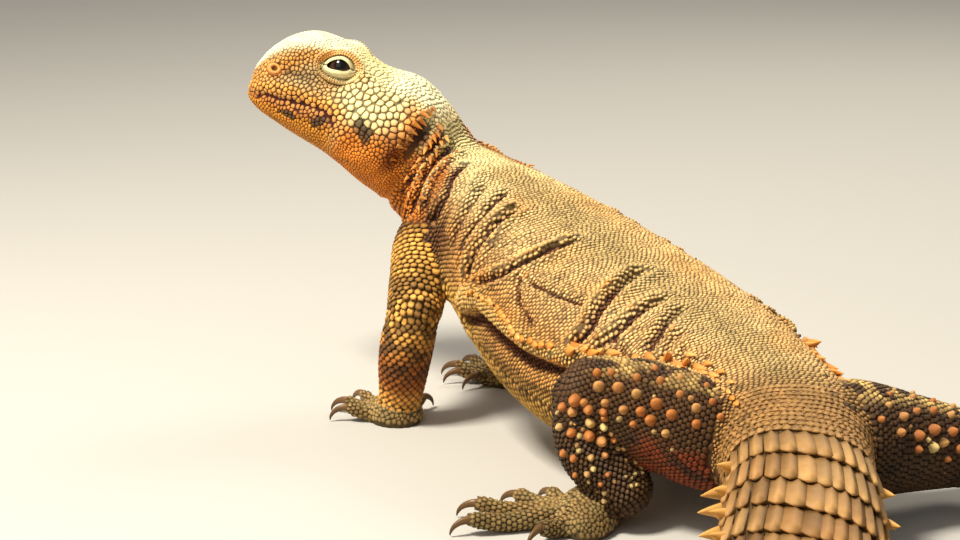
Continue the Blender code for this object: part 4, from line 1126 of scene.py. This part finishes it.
def makeTail():
    rng = np.random.default_rng(57)
    plates, spikes = [], []
    for start, end in whorls():
        middle = (start + end) / 2
        size = float(min(1, alongCurve(bodyKnots, bodySizes, np.array([middle]))[0, 0] / 13))
        long = end - start
        low = min(1.0, long / 5)
        above = (*tail["above"], tail["plateWidth"] * min(1, 0.3 + long / 8), low)
        under = (*tail["under"], tail["plateWidth"], 0.55 * low)
        for first, last, width, share in (above, under):
            rise = tail["rise"] * size * share
            at, angle = ringRows(bodyPoint, [start + 0.05 * long], width * max(size, 0.45), first, last)
            half = (last - first) / len(at) / 2
            at, angle = at + rng.uniform(-0.1, 0.1, len(at)), angle + half
            pos = bodyPoint(at, angle)
            tone = bodyTone(at + long, angle, pos) * rng.uniform(0.88, 1.1, (len(at), 1))
            seeds = seedsOn("body", bodyPoint, at, angle, 1.0, 1.0, rise * 1.5, tone)
            span = bodyPoint(at, angle + half) - bodyPoint(at, angle - half)
            seeds["wide"] = np.linalg.norm(span, axis=1) * 0.99
            reach = bodyPoint(np.minimum(at + long, bodyLength), angle, rise * 0.55) - pos
            seeds["rear"] = unit(reach)
            seeds["long"] = np.linalg.norm(reach, axis=1) * 1.02
            seeds["pos"] = pos - seeds["normal"] * 0.25
            plates.append(seeds)
        if long < 3:
            continue
        at = np.array([end - 1.4 * size])
        for degrees, reach in tail["spikes"]:
            for way in (1, -1):
                turn = degrees + rng.uniform(-3, 3)
                angle = np.array([turn if way > 0 else 180 - turn])
                tone = mix(bodyTone(at, angle, bodyPoint(at, angle)), tones["spike"], 0.65)
                grown = reach * size * rng.uniform(0.9, 1.1)
                wide = tail["spikeWidth"] * size * (reach / 4.4) ** 0.5
                seeds = seedsOn("body", bodyPoint, at, angle, wide, 1.0, grown * 1.1, tone)
                seeds["long"] = seeds["wide"] * 0.9
                seeds["normal"] = unit(seeds["normal"] + up * 0.12 + seeds["rear"] * 0.55)
                seeds["pos"] = bodyPoint(at, angle, 0.3)
                spikes.append(seeds)
    at, angle, wide = np.array([bodyLength - 0.8]), np.array([90.0]), tail["tip"]
    tone = bodyTone(at, angle, bodyPoint(at, angle))
    seeds = seedsOn("body", bodyPoint, at, angle, wide, wide, 3.4, tone)
    seeds["normal"] = seeds["rear"].copy()
    seeds["rear"] = np.array([[0, 0, -1.0]])
    seeds["pos"] = alongCurve(bodyKnots, bodyCentres, at)
    spikes.append(seeds)
    return joinSeeds(plates), joinSeeds(spikes)


knobs = {  # knobs on the hind legs: place, angle round the limb, radius
    "thigh": (
        (36, 32, 1.35), (32.5, 36, 1.35), (28, 32, 1.2), (22.5, 32, 1.4), (30, 12, 1.1),
        (25.5, 16, 1.2), (22.5, 12, 1.3), (18.5, 24, 1.3), (15, 40, 1.15), (34.5, 58, 1.0),
        (29, 56, 1.0), (24, 56, 1.05), (19, 50, 1.0), (12, 50, 0.9), (34, 14, 1.0), (37, 52, 1.1),
        (14, 22, 1.1), (33.5, -4, 0.9), (27, -2, 0.9), (32, 78, 0.9), (26, 76, 0.9), (20, 72, 0.9),
        (14, 68, 0.8), (10, 34, 0.9), (18.5, 6, 1.0), (38, 8, 1.0),
    ),
    "shank": (
        (0, 56, 1.5), (2, 38, 1.2), (2.5, 62, 1.2), (4.5, 40, 1.2), (6.5, 68, 1.15), (7.5, 42, 1.3),
        (9.5, 24, 1.25), (11, 76, 1.0), (1.5, 84, 1.1), (5.5, 92, 1.0), (9.5, 92, 1.0),
        (12.5, 52, 0.85), (14.5, 72, 0.85), (13.5, 30, 0.85), (5.5, 18, 1.0), (2, 14, 1.0),
        (9, 4, 0.85), (17, 46, 0.7), (17.5, 66, 0.7), (13.5, 96, 0.8),
    ),
}


def makeKnobs():
    rng = np.random.default_rng(9)
    large, small = [], []
    for name in ("thighLeft", "thighRight", "shankLeft", "shankRight"):
        limb, kind, left = limbs[name], name[:5], "Left" in name
        at, angle, size = np.array(knobs[kind]).T
        at, angle = at + rng.uniform(-0.3, 0.3, len(at)), angle + rng.uniform(-2, 2, len(at))
        inside = at < limb["length"] + 1.0
        at, angle, size = at[inside], angle[inside], size[inside]
        angle = angle if left else 180 - angle
        pos = limb["point"](at, angle)
        tone = mix(tones["knob"], tones["knobPale"], rng.uniform(0, 1, len(at)) ** 5)
        seeds = seedsOn(name, limb["point"], at, angle, size * 2.0, size * 2.0, size * 1.75, tone)
        seeds["normal"] = unit(seeds["normal"] + seeds["rear"] * 0.35 + up * 0.15)
        large.append(seeds)
        first, count = (6, 14) if kind == "thigh" else (1, 80)  # small ones between them
        at, angle = rng.uniform(first, limb["length"], count), rng.uniform(-25, 100, count)
        angle = angle if left else 180 - angle
        size = rng.uniform(0.4, 0.8, count)
        away = np.linalg.norm(limb["point"](at, angle)[:, None] - pos[None], axis=2)
        clear = np.min(away, axis=1) > 1.7
        at, angle, size = at[clear], angle[clear], size[clear]
        tone = mix(tones["knob"], tones["knobPale"], rng.uniform(0.2, 1, len(at)))
        tone = mix(tones["thigh"], tone, rng.uniform(0.3, 1, len(at)))
        seeds = seedsOn(name, limb["point"], at, angle, size * 2, size * 2, size * 1.7, tone)
        seeds["normal"] = unit(seeds["normal"] + seeds["rear"] * 0.4)
        small.append(seeds)
    return joinSeeds(large + small)


fringes = (  # pointed scales: place, angle, width, length; both sides
    (43.4, 58, 1.3, 2.2), (43.0, 50, 1.4, 2.6), (42.8, 42, 1.5, 2.8), (42.5, 34, 1.5, 2.9),
    (42.2, 26, 1.5, 2.9), (41.9, 18, 1.5, 2.8), (41.6, 10, 1.4, 2.5), (41.2, 2, 1.3, 2.1),
    (40.6, -6, 1.2, 1.8), (47.4, 56, 1.2, 1.8), (47.6, 48, 1.3, 1.9), (47.9, 40, 1.3, 2.0),
    (48.4, 31, 1.3, 2.0), (49.1, 22, 1.3, 2.0), (50.2, 14, 1.2, 1.8), (51.4, 6, 1.2, 1.7),
    (52.2, -2, 1.1, 1.5), (51.0, 62, 1.3, 1.9), (51.8, 54, 1.3, 2.0), (52.4, 46, 1.3, 2.0),
    (53.4, 38, 1.3, 2.0), (54.8, 30, 1.3, 2.0), (56.3, 23, 1.3, 1.9), (57.8, 15, 1.3, 1.8),
    (59.4, 8, 1.2, 1.7), (60.6, 0, 1.2, 1.6), (61.2, -8, 1.1, 1.4), (57.8, 74, 1.1, 1.5),
    (59.0, 66, 1.2, 1.7), (60.4, 58, 1.2, 1.8), (62.0, 50, 1.2, 1.8), (63.7, 42, 1.2, 1.8),
    (65.4, 34, 1.2, 1.8), (67.2, 26, 1.2, 1.7), (68.7, 17, 1.2, 1.6), (69.4, 8, 1.1, 1.5),
    (69.6, -1, 1.1, 1.4),
)
skirt = (  # larger scales along the flank's fold and above the thigh: place, angle, width, length
    (105, 5, 1.2, 0.9), (107, 8, 1.2, 0.9), (109, 10, 1.2, 1.0), (111, 12, 1.3, 1.0),
    (113, 13, 1.3, 1.0), (115, 13, 1.3, 1.1), (117, 14, 1.3, 1.1), (119, 14, 1.4, 1.1),
    (121, 13, 1.4, 1.1), (123, 13, 1.4, 1.2), (125, 12, 1.4, 1.2), (127, 12, 1.5, 1.2),
    (129, 12, 1.5, 1.3), (131, 12, 1.5, 1.3), (133, 13, 1.6, 1.3), (135, 14, 1.6, 1.4),
    (137, 16, 1.7, 1.4), (139, 18, 1.7, 1.5), (142.5, 24, 2.0, 1.9), (145, 23, 2.1, 2.1),
    (147, 27, 2.1, 2.2), (149.5, 28, 2.0, 2.2), (151.5, 30, 1.8, 2.0), (153, 34, 1.6, 1.8),
    (155, 35, 1.5, 1.8), (157, 38, 1.5, 1.8), (159.5, 42, 1.6, 2.0), (161.5, 44, 1.8, 2.4),
    (163.5, 47, 2.0, 2.6), (165.5, 45, 1.8, 2.2), (167.5, 50, 1.8, 2.4), (170, 50, 1.9, 2.5),
    (172.5, 48, 1.7, 2.2), (175, 50, 1.7, 2.2), (178, 48, 1.6, 2.0), (181, 46, 1.5, 1.9),
    (184, 46, 1.5, 1.8), (187, 46, 1.4, 1.7), (190, 45, 1.4, 1.6), (166, 56, 1.3, 1.5),
    (171, 57, 1.3, 1.6), (176, 57, 1.3, 1.5), (181, 55, 1.2, 1.4), (169, 44, 1.5, 1.9),
    (174, 43, 1.5, 1.9), (179, 41, 1.4, 1.7),
)


def makeFringes():
    groups = []
    for rows, lean, wider, longer in ((fringes, 0.5, 1, 1), (skirt, 0.7, 1.35, 1.5)):
        both = list(rows)
        for at, angle, wide, long in rows:
            if rows is skirt or angle < 38:  # the upper fringes of the far side would show above the back
                both.append((at, 180 - angle + 16 * (rows is skirt), wide, long))
        at, angle, wide, long = np.array(both).T
        wide, long = wide * wider, long * longer
        rng = np.random.default_rng(len(rows))
        at, angle = at + rng.uniform(-0.4, 0.4, len(at)), angle + rng.uniform(-1, 1, len(at))
        pos = bodyPoint(at, angle)
        tone = mix(tones["accent"], tones["ridge"], rng.uniform(0, 0.5, len(at)))
        tone = mix(bodyTone(at, angle, pos), tone, 0.85)
        seeds = seedsOn("body", bodyPoint, at, angle, wide, wide * 0.7, long, tone)
        seeds["normal"] = unit(seeds["normal"] * lean + seeds["rear"])
        outward = bodyPoint(at, angle, 1.0) - pos
        seeds["rear"] = np.cross(seeds["normal"], unit(np.cross(seeds["normal"], outward)))
        groups.append(seeds)
    return joinSeeds(groups)


plateSeeds, spikeSeeds = makeTail()
# dark is how bright the painted shade at each copy's root is
coat += stampShape("tailPlates", plateShape(), plateSeeds, dark=0.20, flat=True)
coat += stampShape("tailSpikes", spikeShape(10), spikeSeeds, dark=0.6)
knobSeeds = settleSeeds(makeKnobs(), reach=2.0, floor=1.5)
coat += stampShape("legKnobs", knobShape(), knobSeeds, dark=0.30)
fringeSeeds = makeFringes()
coat += stampShape("neckFringes", spikeShape(), fringeSeeds, dark=0.5)
print("plates", len(plateSeeds["pos"]), "spikes", len(spikeSeeds["pos"]), "knobs", len(knobSeeds["pos"]))


# the skin takes the tone of the nearest scale, darkened as painted shade between the scales
def markSkin():
    rings = np.arange(200, bodyLength, 2.0)
    at, angle = np.repeat(rings, 40), np.tile(np.arange(40) * 9.0, len(rings))
    onTail = bodyPoint(at, angle)
    tree = pointTree(np.vstack((everySeed["pos"], onTail)))
    inHead = everySeed["kind"] == 0
    side = sideAngle(bodyPlace(everySeed["uv"])[1])
    # painted shade between the scales, less deep on the head's crown and throat
    between = 0.22 + 0.4 * inHead * np.maximum(step(side, 50, 66), step(-side, 10, 24))
    shades = np.vstack((everySeed["tone"] * between[:, None], bodyTone(at, angle, onTail) * 0.20))
    found = np.array([tree.find(Vector(p))[1] for p in meshPoints(skin) / mm - shift])
    back, angle = bodyPlace(everySeed["uv"][np.minimum(found, len(inHead) - 1)])
    mouth = np.interp(back, *np.array(headLines[1][2]).T)  # the angle of the groove between the lips
    inMouth = (found < inHead.sum()) & (back < 27) & (np.abs(sideAngle(angle) - mouth) < 7)
    setMarks(skin.data, np.where(inMouth[:, None], np.array(tones["mouth"]) * 0.6, shades[found]))


markSkin()


eyeLook = {
    "outward": (0.06, 0.34),  # how far the eye faces forwards and upwards
    "gaze": (-0.02, 0.05),  # the pupil's turn forwards and upwards from there
    "front": 3.3, "rear": 2.5, "upper": 1.45, "lower": 1.3,  # the opening's reach from its middle
    "lidFront": 3.7, "lidRear": 3.7, "lidUpper": 3.6, "lidLower": 4.1,  # the lids' width
    "thick": 0.5,  # how far the lids stand off the eyeball
}


def eyeAxes(side):
    forwards, upwards = eyeLook["outward"]
    out = unit(headLeft * side + headAxis * forwards + headUp * upwards)
    along = unit(headAxis - out * (headAxis @ out))
    return out, along, np.cross(along, out) * side


def eyeMiddle(side):
    back, out, above = head["eye"]
    return headPlace(back, out * side, above)


def makeEye(side, name):
    out, along, above = eyeAxes(side)
    middle = eyeMiddle(side)
    gaze = unit(out + along * eyeLook["gaze"][0] + above * eyeLook["gaze"][1])
    radius = head["eyeRadius"] * mm
    bpy.ops.mesh.primitive_uv_sphere_add(segments=64, ring_count=40, radius=radius, location=(0, 0, 0))
    eye = bpy.context.object
    eye.name = name
    turn = Vector((0, 0, 1)).rotation_difference(Vector(gaze)).to_matrix().to_4x4()
    for v in eye.data.vertices:  # the clear front stands a little proud
        lift = v.co.z / radius
        v.co *= 1 + 0.035 * max(0, (lift - 0.72) / 0.28)
    eye.data.transform(Matrix.Translation(Vector(toWorld(middle))) @ turn)
    points = np.array([tuple(v.co) for v in eye.data.vertices]) / mm - shift
    axisAway = np.linalg.norm(np.cross(points - middle, gaze), axis=1)
    front = (points - middle) @ gaze > 0
    marks = eye.data.attributes.new("fromPupil", "FLOAT", "POINT")
    marks.data.foreach_set("value", np.where(front, axisAway, 9.0).astype(np.float32))
    bpy.ops.object.shade_smooth()
    return eye


headTones = headSeeds["tone"]
headTree = pointTree(headSeeds["pos"])


class Lids:
    # the skin round one eye: rings that run outwards from the opening's edge

    def __init__(self, side):
        self.side = side
        self.out, self.along, self.above = eyeAxes(side)
        self.middle = eyeMiddle(side)

    def edge(self, phi):
        c, s = np.cos(phi), np.sin(phi)
        x = np.where(c > 0, c * eyeLook["front"], c * eyeLook["rear"])
        y = np.where(s > 0, eyeLook["upper"] * np.abs(s) ** 1.35, -eyeLook["lower"] * np.abs(s) ** 1.15)
        return np.stack((x, y - 0.20 * np.maximum(x, 0)), axis=1)

    def flat(self, phi, away):
        c, s = np.cos(phi), np.sin(phi)
        return self.edge(phi) + np.stack((c, s), axis=1) * np.asarray(away)[:, None]

    def width(self, phi):
        c, s = np.cos(phi), np.sin(phi)
        across = np.where(c > 0, eyeLook["lidFront"], eyeLook["lidRear"])
        high = np.where(s > 0, eyeLook["lidUpper"], eyeLook["lidLower"])
        return across * c * c + high * s * s

    def ground(self, q):
        heights = np.full(len(q), -2.0)
        for i, (a, b) in enumerate(q):
            start = self.middle + self.along * a + self.above * b + self.out * 14
            hit = skinTree.ray_cast(Vector(toWorld(start)), Vector(-self.out), 0.03)[0]
            if hit is not None:
                heights[i] = (np.array(hit) / mm - shift - self.middle) @ self.out
        return heights

    def place(self, q, height):
        outward = self.out * np.asarray(height)[:, None]
        return self.middle + self.along * q[:, :1] + self.above * q[:, 1:] + outward

    def folds(self, phi, away):
        low, top = step(-np.sin(phi), 0.0, 0.45), step(np.sin(phi), 0.0, 0.45)
        fold = low * (0.42 * bulge(away - 0.85, 0.62) - 0.55 * bulge(away - 1.8, 0.24)
                      + 0.30 * bulge(away - 2.45, 0.4) - 0.45 * bulge(away - 3.15, 0.24))
        brow = 0.75 if self.side > 0 else 0.1
        fold += top * (0.22 * bulge(away - 0.45, 0.4) - 0.55 * bulge(away - 1.1, 0.25)
                       + brow * bulge(away - 2.7, 0.8))
        corner = (1 - low) * (1 - top)
        return fold - corner * 0.45 * bulge(np.sin(phi), 0.10) * (1 - step(away, 1.2, 2.4))

    def surface(self, phi, away):
        q = self.flat(phi, away)
        ball = head["eyeRadius"] + eyeLook["thick"] * (1 if self.side > 0 else 0.3)
        lid = ball * (1 - (q**2).sum(axis=1) / (ball * 1.27) ** 2)
        ground = self.ground(q) + (0.15 if self.side > 0 else 0.0)
        share = away / self.width(phi)
        height = np.logaddexp(lid * 4, ground * 4) / 4 + self.folds(phi, away) * (1 - step(share, 0.86, 1.0))
        return self.place(q, height - 0.9 * step(share, 0.93, 1.0))

    def tone(self, phi, away, pos):
        top = step(np.sin(phi), -0.05, 0.3)
        tone = np.broadcast_to(np.array(tones["lid"]), (len(pos), 3)).copy()
        tone = mix(tone, tones["canthus"], 0.95 * top * step(away, 1.15, 1.4) * (1 - step(away, 2.5, 3.0)))
        share = away / self.width(phi)
        front = step(np.cos(phi), 0.2, 0.7)
        tone = mix(tone, tones["lore"], 0.85 * front * (1 - top) * step(away, 0.5, 1.3))
        near = np.array([
            np.mean([headTones[j] for _, j, _ in headTree.find_n(Vector(p), 6)], axis=0) for p in pos
        ])
        tone = mix(tone, near, step(share, 0.30, 0.62) * (1 - 0.75 * top * (1 - step(share, 0.62, 0.9))))
        # painted light on the lids' folds and painted shade in their grooves
        fold = self.folds(phi, away)
        return tone * (np.clip(1.0 + 1.5 * fold, 0.22, 1.12) * (1 + 0.08 * blotch(pos, 2.2, 12)))[:, None]


def makeLids(side, name):
    lids = Lids(side)
    around, across = 96, 34
    phi = np.arange(around) * 2 * math.pi / around
    edge = lids.edge(phi)
    away = np.linspace(0, 1, across)[:, None] ** 1.1 * lids.width(phi)[None]
    rings = [lids.surface(phi, row) for row in away]
    shades = [lids.tone(phi, row, ring) for row, ring in zip(away, rings)]
    top = (rings[0] - lids.middle) @ lids.out
    ball = np.sqrt(np.maximum(head["eyeRadius"] ** 2 - (edge**2).sum(axis=1), 0))
    rim = lids.place(edge * 0.98, np.maximum(ball + 0.03, top - 0.45))
    inner = lids.place(edge * 0.90, np.maximum(ball, top - 0.6) - 0.8)
    under = lids.place(edge * 0.90, np.full(around, -0.4))
    outer = lids.place(lids.flat(phi, away[-1] * 0.92), (rings[-1] - lids.middle) @ lids.out - 0.8)
    # painted shade on the inner wall and rim of the opening, and a painted shadow line along the lids' edge
    dark = np.broadcast_to(np.array(tones["dark"]), (around, 3))
    rings = [under, inner, rim] + rings + [outer]
    shades = [dark, dark, dark * 1.3] + shades + [dark]
    shades[3] = shades[3] * 0.45
    faces = gridFaces(len(rings), around)
    last, j = (len(rings) - 1) * around, np.arange(around)
    faces = np.vstack((faces, np.stack((last + j, j, (j + 1) % around, last + (j + 1) % around), axis=1)))
    return facesOutwards(meshFrom(name, np.concatenate(rings), faces, np.concatenate(shades))), lids


def makeLidScales(side, name, lids):
    rng = np.random.default_rng(61)
    phis, aways = [], []
    fine = np.linspace(0, 2 * math.pi, 361)
    for row, away in enumerate(np.arange(0.25, 4.0, 0.46)):
        ring = lids.surface(fine, np.full(361, away))
        run = farAlong(ring)
        count = int(run[-1] / (0.52 + 0.06 * away))
        phi = np.interp((np.arange(count) + (0.5 if row % 2 else 0)) * run[-1] / count, run, fine)
        phis.append(phi)
        aways.append(np.full(count, away) + rng.uniform(-0.04, 0.04, count))
    phi, away = np.concatenate(phis), np.concatenate(aways)
    low, top = np.sin(phi) < -0.3, np.sin(phi) > 0.3
    keep = (away < lids.width(phi) * 0.90) & ~(low & (away < 1.5)) & ~(top & (away < 0.9))
    keep &= (lids.folds(phi, away) > -0.22) & (low | top | (away > 0.9))
    phi, away = phi[keep], away[keep]
    pos = lids.surface(phi, away)
    outward = lids.surface(phi, away + 0.12) - lids.surface(phi, away - 0.12)
    onward = lids.surface(phi + 0.05, away) - lids.surface(phi - 0.05, away)
    normal = unit(np.cross(outward, onward))
    normal *= np.sign(normal @ lids.out)[:, None]
    tone = lids.tone(phi, away, pos) * rng.uniform(0.86, 1.14, (len(phi), 1))
    size = 0.56 + 0.06 * away
    local = pos - lids.middle
    angle = (42.0 if side > 0 else 138.0) + (local @ headUp) * 3.0 * side
    seeds = {
        "pos": pos, "normal": normal, "rear": np.broadcast_to(-headAxis, pos.shape).copy(), "wide": size,
        "long": size, "height": 0.12 + 0.05 * away, "tone": tone,
        "uv": uvAt("body", head["eye"][0] - local @ headAxis, angle),
    }
    return cellScales(name, seeds, {**plateLook, "sides": 8, "root": 0.12})


def makeNostrils():
    profile = (  # radius, height and painted light and shade (bright on the rim, dark down the hole), from the outer edge to the bottom of the hole
        (2.0, -0.5, 0.7), (1.8, 0.05, 0.8), (1.5, 0.38, 1.0), (1.2, 0.52, 1.15), (0.95, 0.46, 1.1),
        (0.74, 0.2, 0.6), (0.6, -0.3, 0.18), (0.42, -0.8, 0.08), (0.0, -0.9, 0.06),
    )
    sides = 24
    turn = (np.arange(sides) * 2 * math.pi / sides)[:, None]
    points, faces, tone = [], [], []
    for angle in nostril["angles"]:
        middle = bodyPoint([nostril["at"]], [angle])[0]
        normal = unit(bodyPoint([nostril["at"]], [angle], 1.0)[0] - middle)
        across = unit(np.cross(headAxis, normal))
        along = np.cross(normal, across)
        faces.append(gridFaces(len(profile), sides) + len(points) * sides)
        for r, z, shade in profile:
            ring = middle + (across * np.cos(turn) * r * 0.85 + along * np.sin(turn) * r) + normal * z
            points.append(ring + along * (-0.25 if z < 0 and r < 1 else 0))
            tone.append(np.broadcast_to(np.array(tones["nostril"]) * shade, (sides, 3)))
    obj = meshFrom("nostrils", np.concatenate(points), np.vstack(faces), np.concatenate(tone))
    return facesOutwards(obj, weld=0.02 * mm, close=True)


eyes = [makeEye(1, "eyeballLeft"), makeEye(-1, "eyeballRight")]
lids = []
for side, title in ((1, "Left"), (-1, "Right")):
    lid, parts = makeLids(side, "eyelids" + title)
    lids.append(lid)
    coat += makeLidScales(side, "lidScales" + title, parts)
nostrils = makeNostrils()
print("eyes ready")


clawLook = {
    "length": 4.6, "root": 1.05, "wide": 0.66, "tall": 0.92,  # the root, and its half widths as shares
    "sides": 12, "steps": 12,
}


def toeEnd(toe):
    # which way a toe points at its end, and where it ends
    around = np.arange(24) * 15.0
    ring, before = (toe["point"](np.full(24, toe["length"] - back), around) for back in (0, 0.5))
    middle = ring.mean(axis=0)
    return unit(middle - before.mean(axis=0)), middle


def makeClaws(name, foot):
    pieces, shades = [], []
    count, sides = clawLook["steps"], clawLook["sides"]
    turn = np.arange(sides) * 2 * math.pi / sides
    for i in range(5):
        level = heading(foot["ways"][i])
        across = unit(np.cross(up, level))
        outWay, start = toeEnd(toes[f"{name}{i}"])
        start = start + outWay * 0.3
        sink, rise = start[2] - 0.4, outWay[2] * 2.2
        rings = []
        for k in range(count + 1):
            t = k / count
            lean = math.pi / 2 * t
            place = start + level * (clawLook["length"] * math.sin(t * math.pi / 2)) + up * (rise * t)
            place[2] -= (sink + rise) * (1 - math.cos(t * math.pi / 2))
            facing = level * math.cos(lean) - up * math.sin(lean) if k else outWay
            above = -unit(np.cross(facing, across))
            width = clawLook["root"] * clawLook["wide"] * (1 - t) ** 0.75 + 0.07
            tall = clawLook["root"] * clawLook["tall"] * (1 - t) ** 0.8 + 0.08
            ring = place + across * (width * np.cos(turn))[:, None] + above * (tall * np.sin(turn))[:, None]
            ring[:, 2] = np.maximum(ring[:, 2], 0.1)
            rings.append(ring)
            shades.append(np.full(sides, 1.2 - 0.6 * t))
        pieces.append(np.concatenate(rings))
    faces = np.vstack([gridFaces(count + 1, sides) + i * (count + 1) * sides for i in range(5)])
    tone = np.array(tones["claw"]) * np.concatenate(shades)[:, None]
    obj = meshFrom("claws" + name[0].upper() + name[1:], np.concatenate(pieces), faces, tone)
    return facesOutwards(obj, close=True)


claws = [makeClaws(name, foot) for name, foot in feet.items()]
print("claws ready")


def newMaterial(name):
    # a material, its shader node, and calls that add a node and a link
    material = bpy.data.materials.new(name)
    material.use_nodes = True
    nodes, links = material.node_tree.nodes, material.node_tree.links

    def add(kind, values=(), **settings):
        node = nodes.new("ShaderNode" + kind)
        for key, value in settings.items():
            setattr(node, key, value)
        setValues(node, values)
        return node

    def link(source, output, target, socket):
        links.new(source.outputs[output], target.inputs[socket])

    return material, nodes["Principled BSDF"], add, link


def setValues(node, values):
    for socket, value in dict(values).items():
        node.inputs[socket].default_value = value


def finish(name, roughness, grain, grainSize, bump, mottle):
    # colours with painted light and shade from the mesh, mottled and grained by noise at its own scale
    material, surface, add, link = newMaterial(name)
    marks = add("Attribute", attribute_name="markingsAndShade")
    place = add("TexCoord")
    patches = add("TexNoise", {"Scale": 420, "Detail": 4})
    link(place, "Object", patches, "Vector")
    tint = add("MapRange", {"To Min": 1 - mottle, "To Max": 1 + mottle})
    link(patches, "Fac", tint, "Value")
    colour = add("VectorMath", operation="SCALE")
    link(marks, "Color", colour, 0)
    link(tint, "Result", colour, "Scale")
    link(colour, "Vector", surface, "Base Color")
    grains = add("TexNoise", {"Scale": grainSize, "Detail": 6})
    link(place, "Object", grains, "Vector")
    shine = add("MapRange", {"To Min": roughness - grain, "To Max": roughness + grain})
    link(grains, "Fac", shine, "Value")
    link(shine, "Result", surface, "Roughness")
    relief = add("Bump", {"Strength": bump, "Distance": 0.2 * mm})
    link(grains, "Fac", relief, "Height")
    link(relief, "Normal", surface, "Normal")
    setValues(surface, {"Specular IOR Level": 0.25})
    return material


irisStops = (  # how far from the pupil's middle, from 0 to 1, and the colour there
    (0.0, (3, 2, 2)), (0.37, (5, 3, 2)), (0.42, (40, 22, 10)), (0.55, (66, 36, 14)), (0.66, (34, 18, 8)),
    (0.74, (16, 10, 8)), (1.0, (20, 14, 10)),
)


def eyeMaterial():
    material, surface, add, link = newMaterial("wetEye")
    away = add("Attribute", attribute_name="fromPupil")
    place = add("TexCoord")
    streaks = add("TexNoise", {"Scale": 1500})
    link(place, "Object", streaks, "Vector")
    wobble = add("Math", {1: 0.35}, operation="MULTIPLY_ADD")
    link(streaks, "Fac", wobble, 0)
    link(away, "Fac", wobble, 2)
    scaled = add("Math", {1: 4.0}, operation="DIVIDE")
    link(wobble, 0, scaled, 0)
    ramp = add("ValToRGB")
    elements = ramp.color_ramp.elements
    elements[0].position, elements[1].position = 0.0, 1.0
    for position, tone in irisStops[1:-1]:
        elements.new(position)
    for element, (position, tone) in zip(sorted(elements, key=lambda e: e.position), irisStops):
        element.color = (*srgb(*tone), 1)
    link(scaled, 0, ramp, "Fac")
    link(ramp, "Color", surface, "Base Color")
    setValues(surface, {"Roughness": 0.10, "Specular IOR Level": 0.3})
    setValues(surface, {"Coat Weight": 0.25, "Coat Roughness": 0.03})
    return material


finishes = {  # roughness and how far it varies, the grain's scale, the bump's strength, how mottled it is
    "scaleHorn": (0.58, 0.10, 2600, 0.35, 0.25),
    "softSkin": (0.70, 0.10, 1800, 0.5, 0.25),
    "lidSkin": (0.58, 0.08, 3200, 0.25, 0.12),
    "clawHorn": (0.36, 0.10, 1500, 0.2, 0.25),
}
materials = {name: finish(name, *values) for name, values in finishes.items()}
materials["wetEye"] = eyeMaterial()
for pieces, name in (
    (coat, "scaleHorn"), ([skin], "softSkin"), (lids + [nostrils], "lidSkin"),
    (claws, "clawHorn"), (eyes, "wetEye"),
):
    for piece in pieces:
        piece.data.materials.clear()
        piece.data.materials.append(materials[name])
print("materials ready")

for piece in coat + [skin, nostrils] + lids + claws + eyes:
    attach(piece, "root")
flesh = ["head", "neck", "torso", "tail_base", "tail_middle", "tail_end"]
for part in ("upper_arm", "forearm", "hand", "thigh", "shank", "foot"):
    flesh += [f"{part}_{side}" for side in ("left", "right")]
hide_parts(*flesh)
for eye, node in zip(eyes, ("eye_left", "eye_right")):
    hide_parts(node)
for piece, node in zip(claws, ("hand_left", "hand_right", "foot_left", "foot_right")):
    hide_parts(*[f"claw_{node}_{i}" for i in range(1, 6)])
for piece in coat:
    slot = "skin_orange"
    slot = "skin_pale" if piece.name.startswith(("head", "lid")) else slot
    slot = "tail_scales" if piece.name.startswith("tail") else slot
    slot = "skin_brown" if piece.name.startswith(("limb", "leg")) else slot


room = {
    "floor": (0.50, 0.485, 0.45, 1), "floorRoughness": 0.9, "air": (1.0, 0.97, 0.92, 1), "airStrength": 0.34,
    "lit": (0, -0.02, 0.03),  # where the lights point
}
lights = {  # place, size, power, colour
    "keyLight": ((0.36, -0.08, 0.62), 0.16, 8.6, (1.0, 0.93, 0.80)),
    "fillLight": ((1.30, 0.50, 0.90), 1.2, 4.0, (1.0, 0.95, 0.86)),
    "rimLight": ((-0.55, -0.30, 0.60), 0.30, 2.6, (1.0, 0.93, 0.80)),
}


def makeStage():
    bpy.ops.mesh.primitive_plane_add(size=6, location=(0, 0, 0))
    floor = bpy.context.object
    floor.name = "floor"
    material, surface = newMaterial("paleFloor")[:2]
    setValues(surface, {"Base Color": room["floor"], "Roughness": room["floorRoughness"]})
    floor.data.materials.append(material)
    bpy.context.scene.view_settings.view_transform = "Standard"
    world = bpy.data.worlds.new("softRoom")
    bpy.context.scene.world = world
    world.use_nodes = True
    air = world.node_tree.nodes["Background"]
    setValues(air, {"Color": room["air"], "Strength": room["airStrength"]})
    for name, (place, size, power, tint) in lights.items():
        bpy.ops.object.light_add(type="AREA", location=place)
        light = bpy.context.object
        light.name = name
        light.data.size, light.data.energy, light.data.color = size, power, tint
        way = Vector(room["lit"]) - Vector(place)
        light.rotation_euler = way.to_track_quat("-Z", "Y").to_euler()


view = {  # the camera's place in millimetres, how far it looks down and how far it is turned, and its lens
    "place": (303.8, 319.8, 163.7), "pitch": 14, "turn": 34.8, "lens": 82.5, "sensor": 36,
}


def makeCamera():
    bpy.ops.object.camera_add(location=Vector(toWorld(np.array(view["place"]))))
    camera = bpy.context.object
    pitch, turn = math.radians(view["pitch"]), math.radians(view["turn"])
    way = Vector((-math.sin(turn) * math.cos(pitch), -math.cos(turn) * math.cos(pitch), -math.sin(pitch)))
    camera.rotation_euler = way.to_track_quat("-Z", "Y").to_euler()
    camera.data.lens, camera.data.sensor_width = view["lens"], view["sensor"]
    camera.data.clip_start, camera.data.clip_end = 0.01, 20
    bpy.context.scene.camera = camera


makeStage()
makeCamera()
print("scene ready")
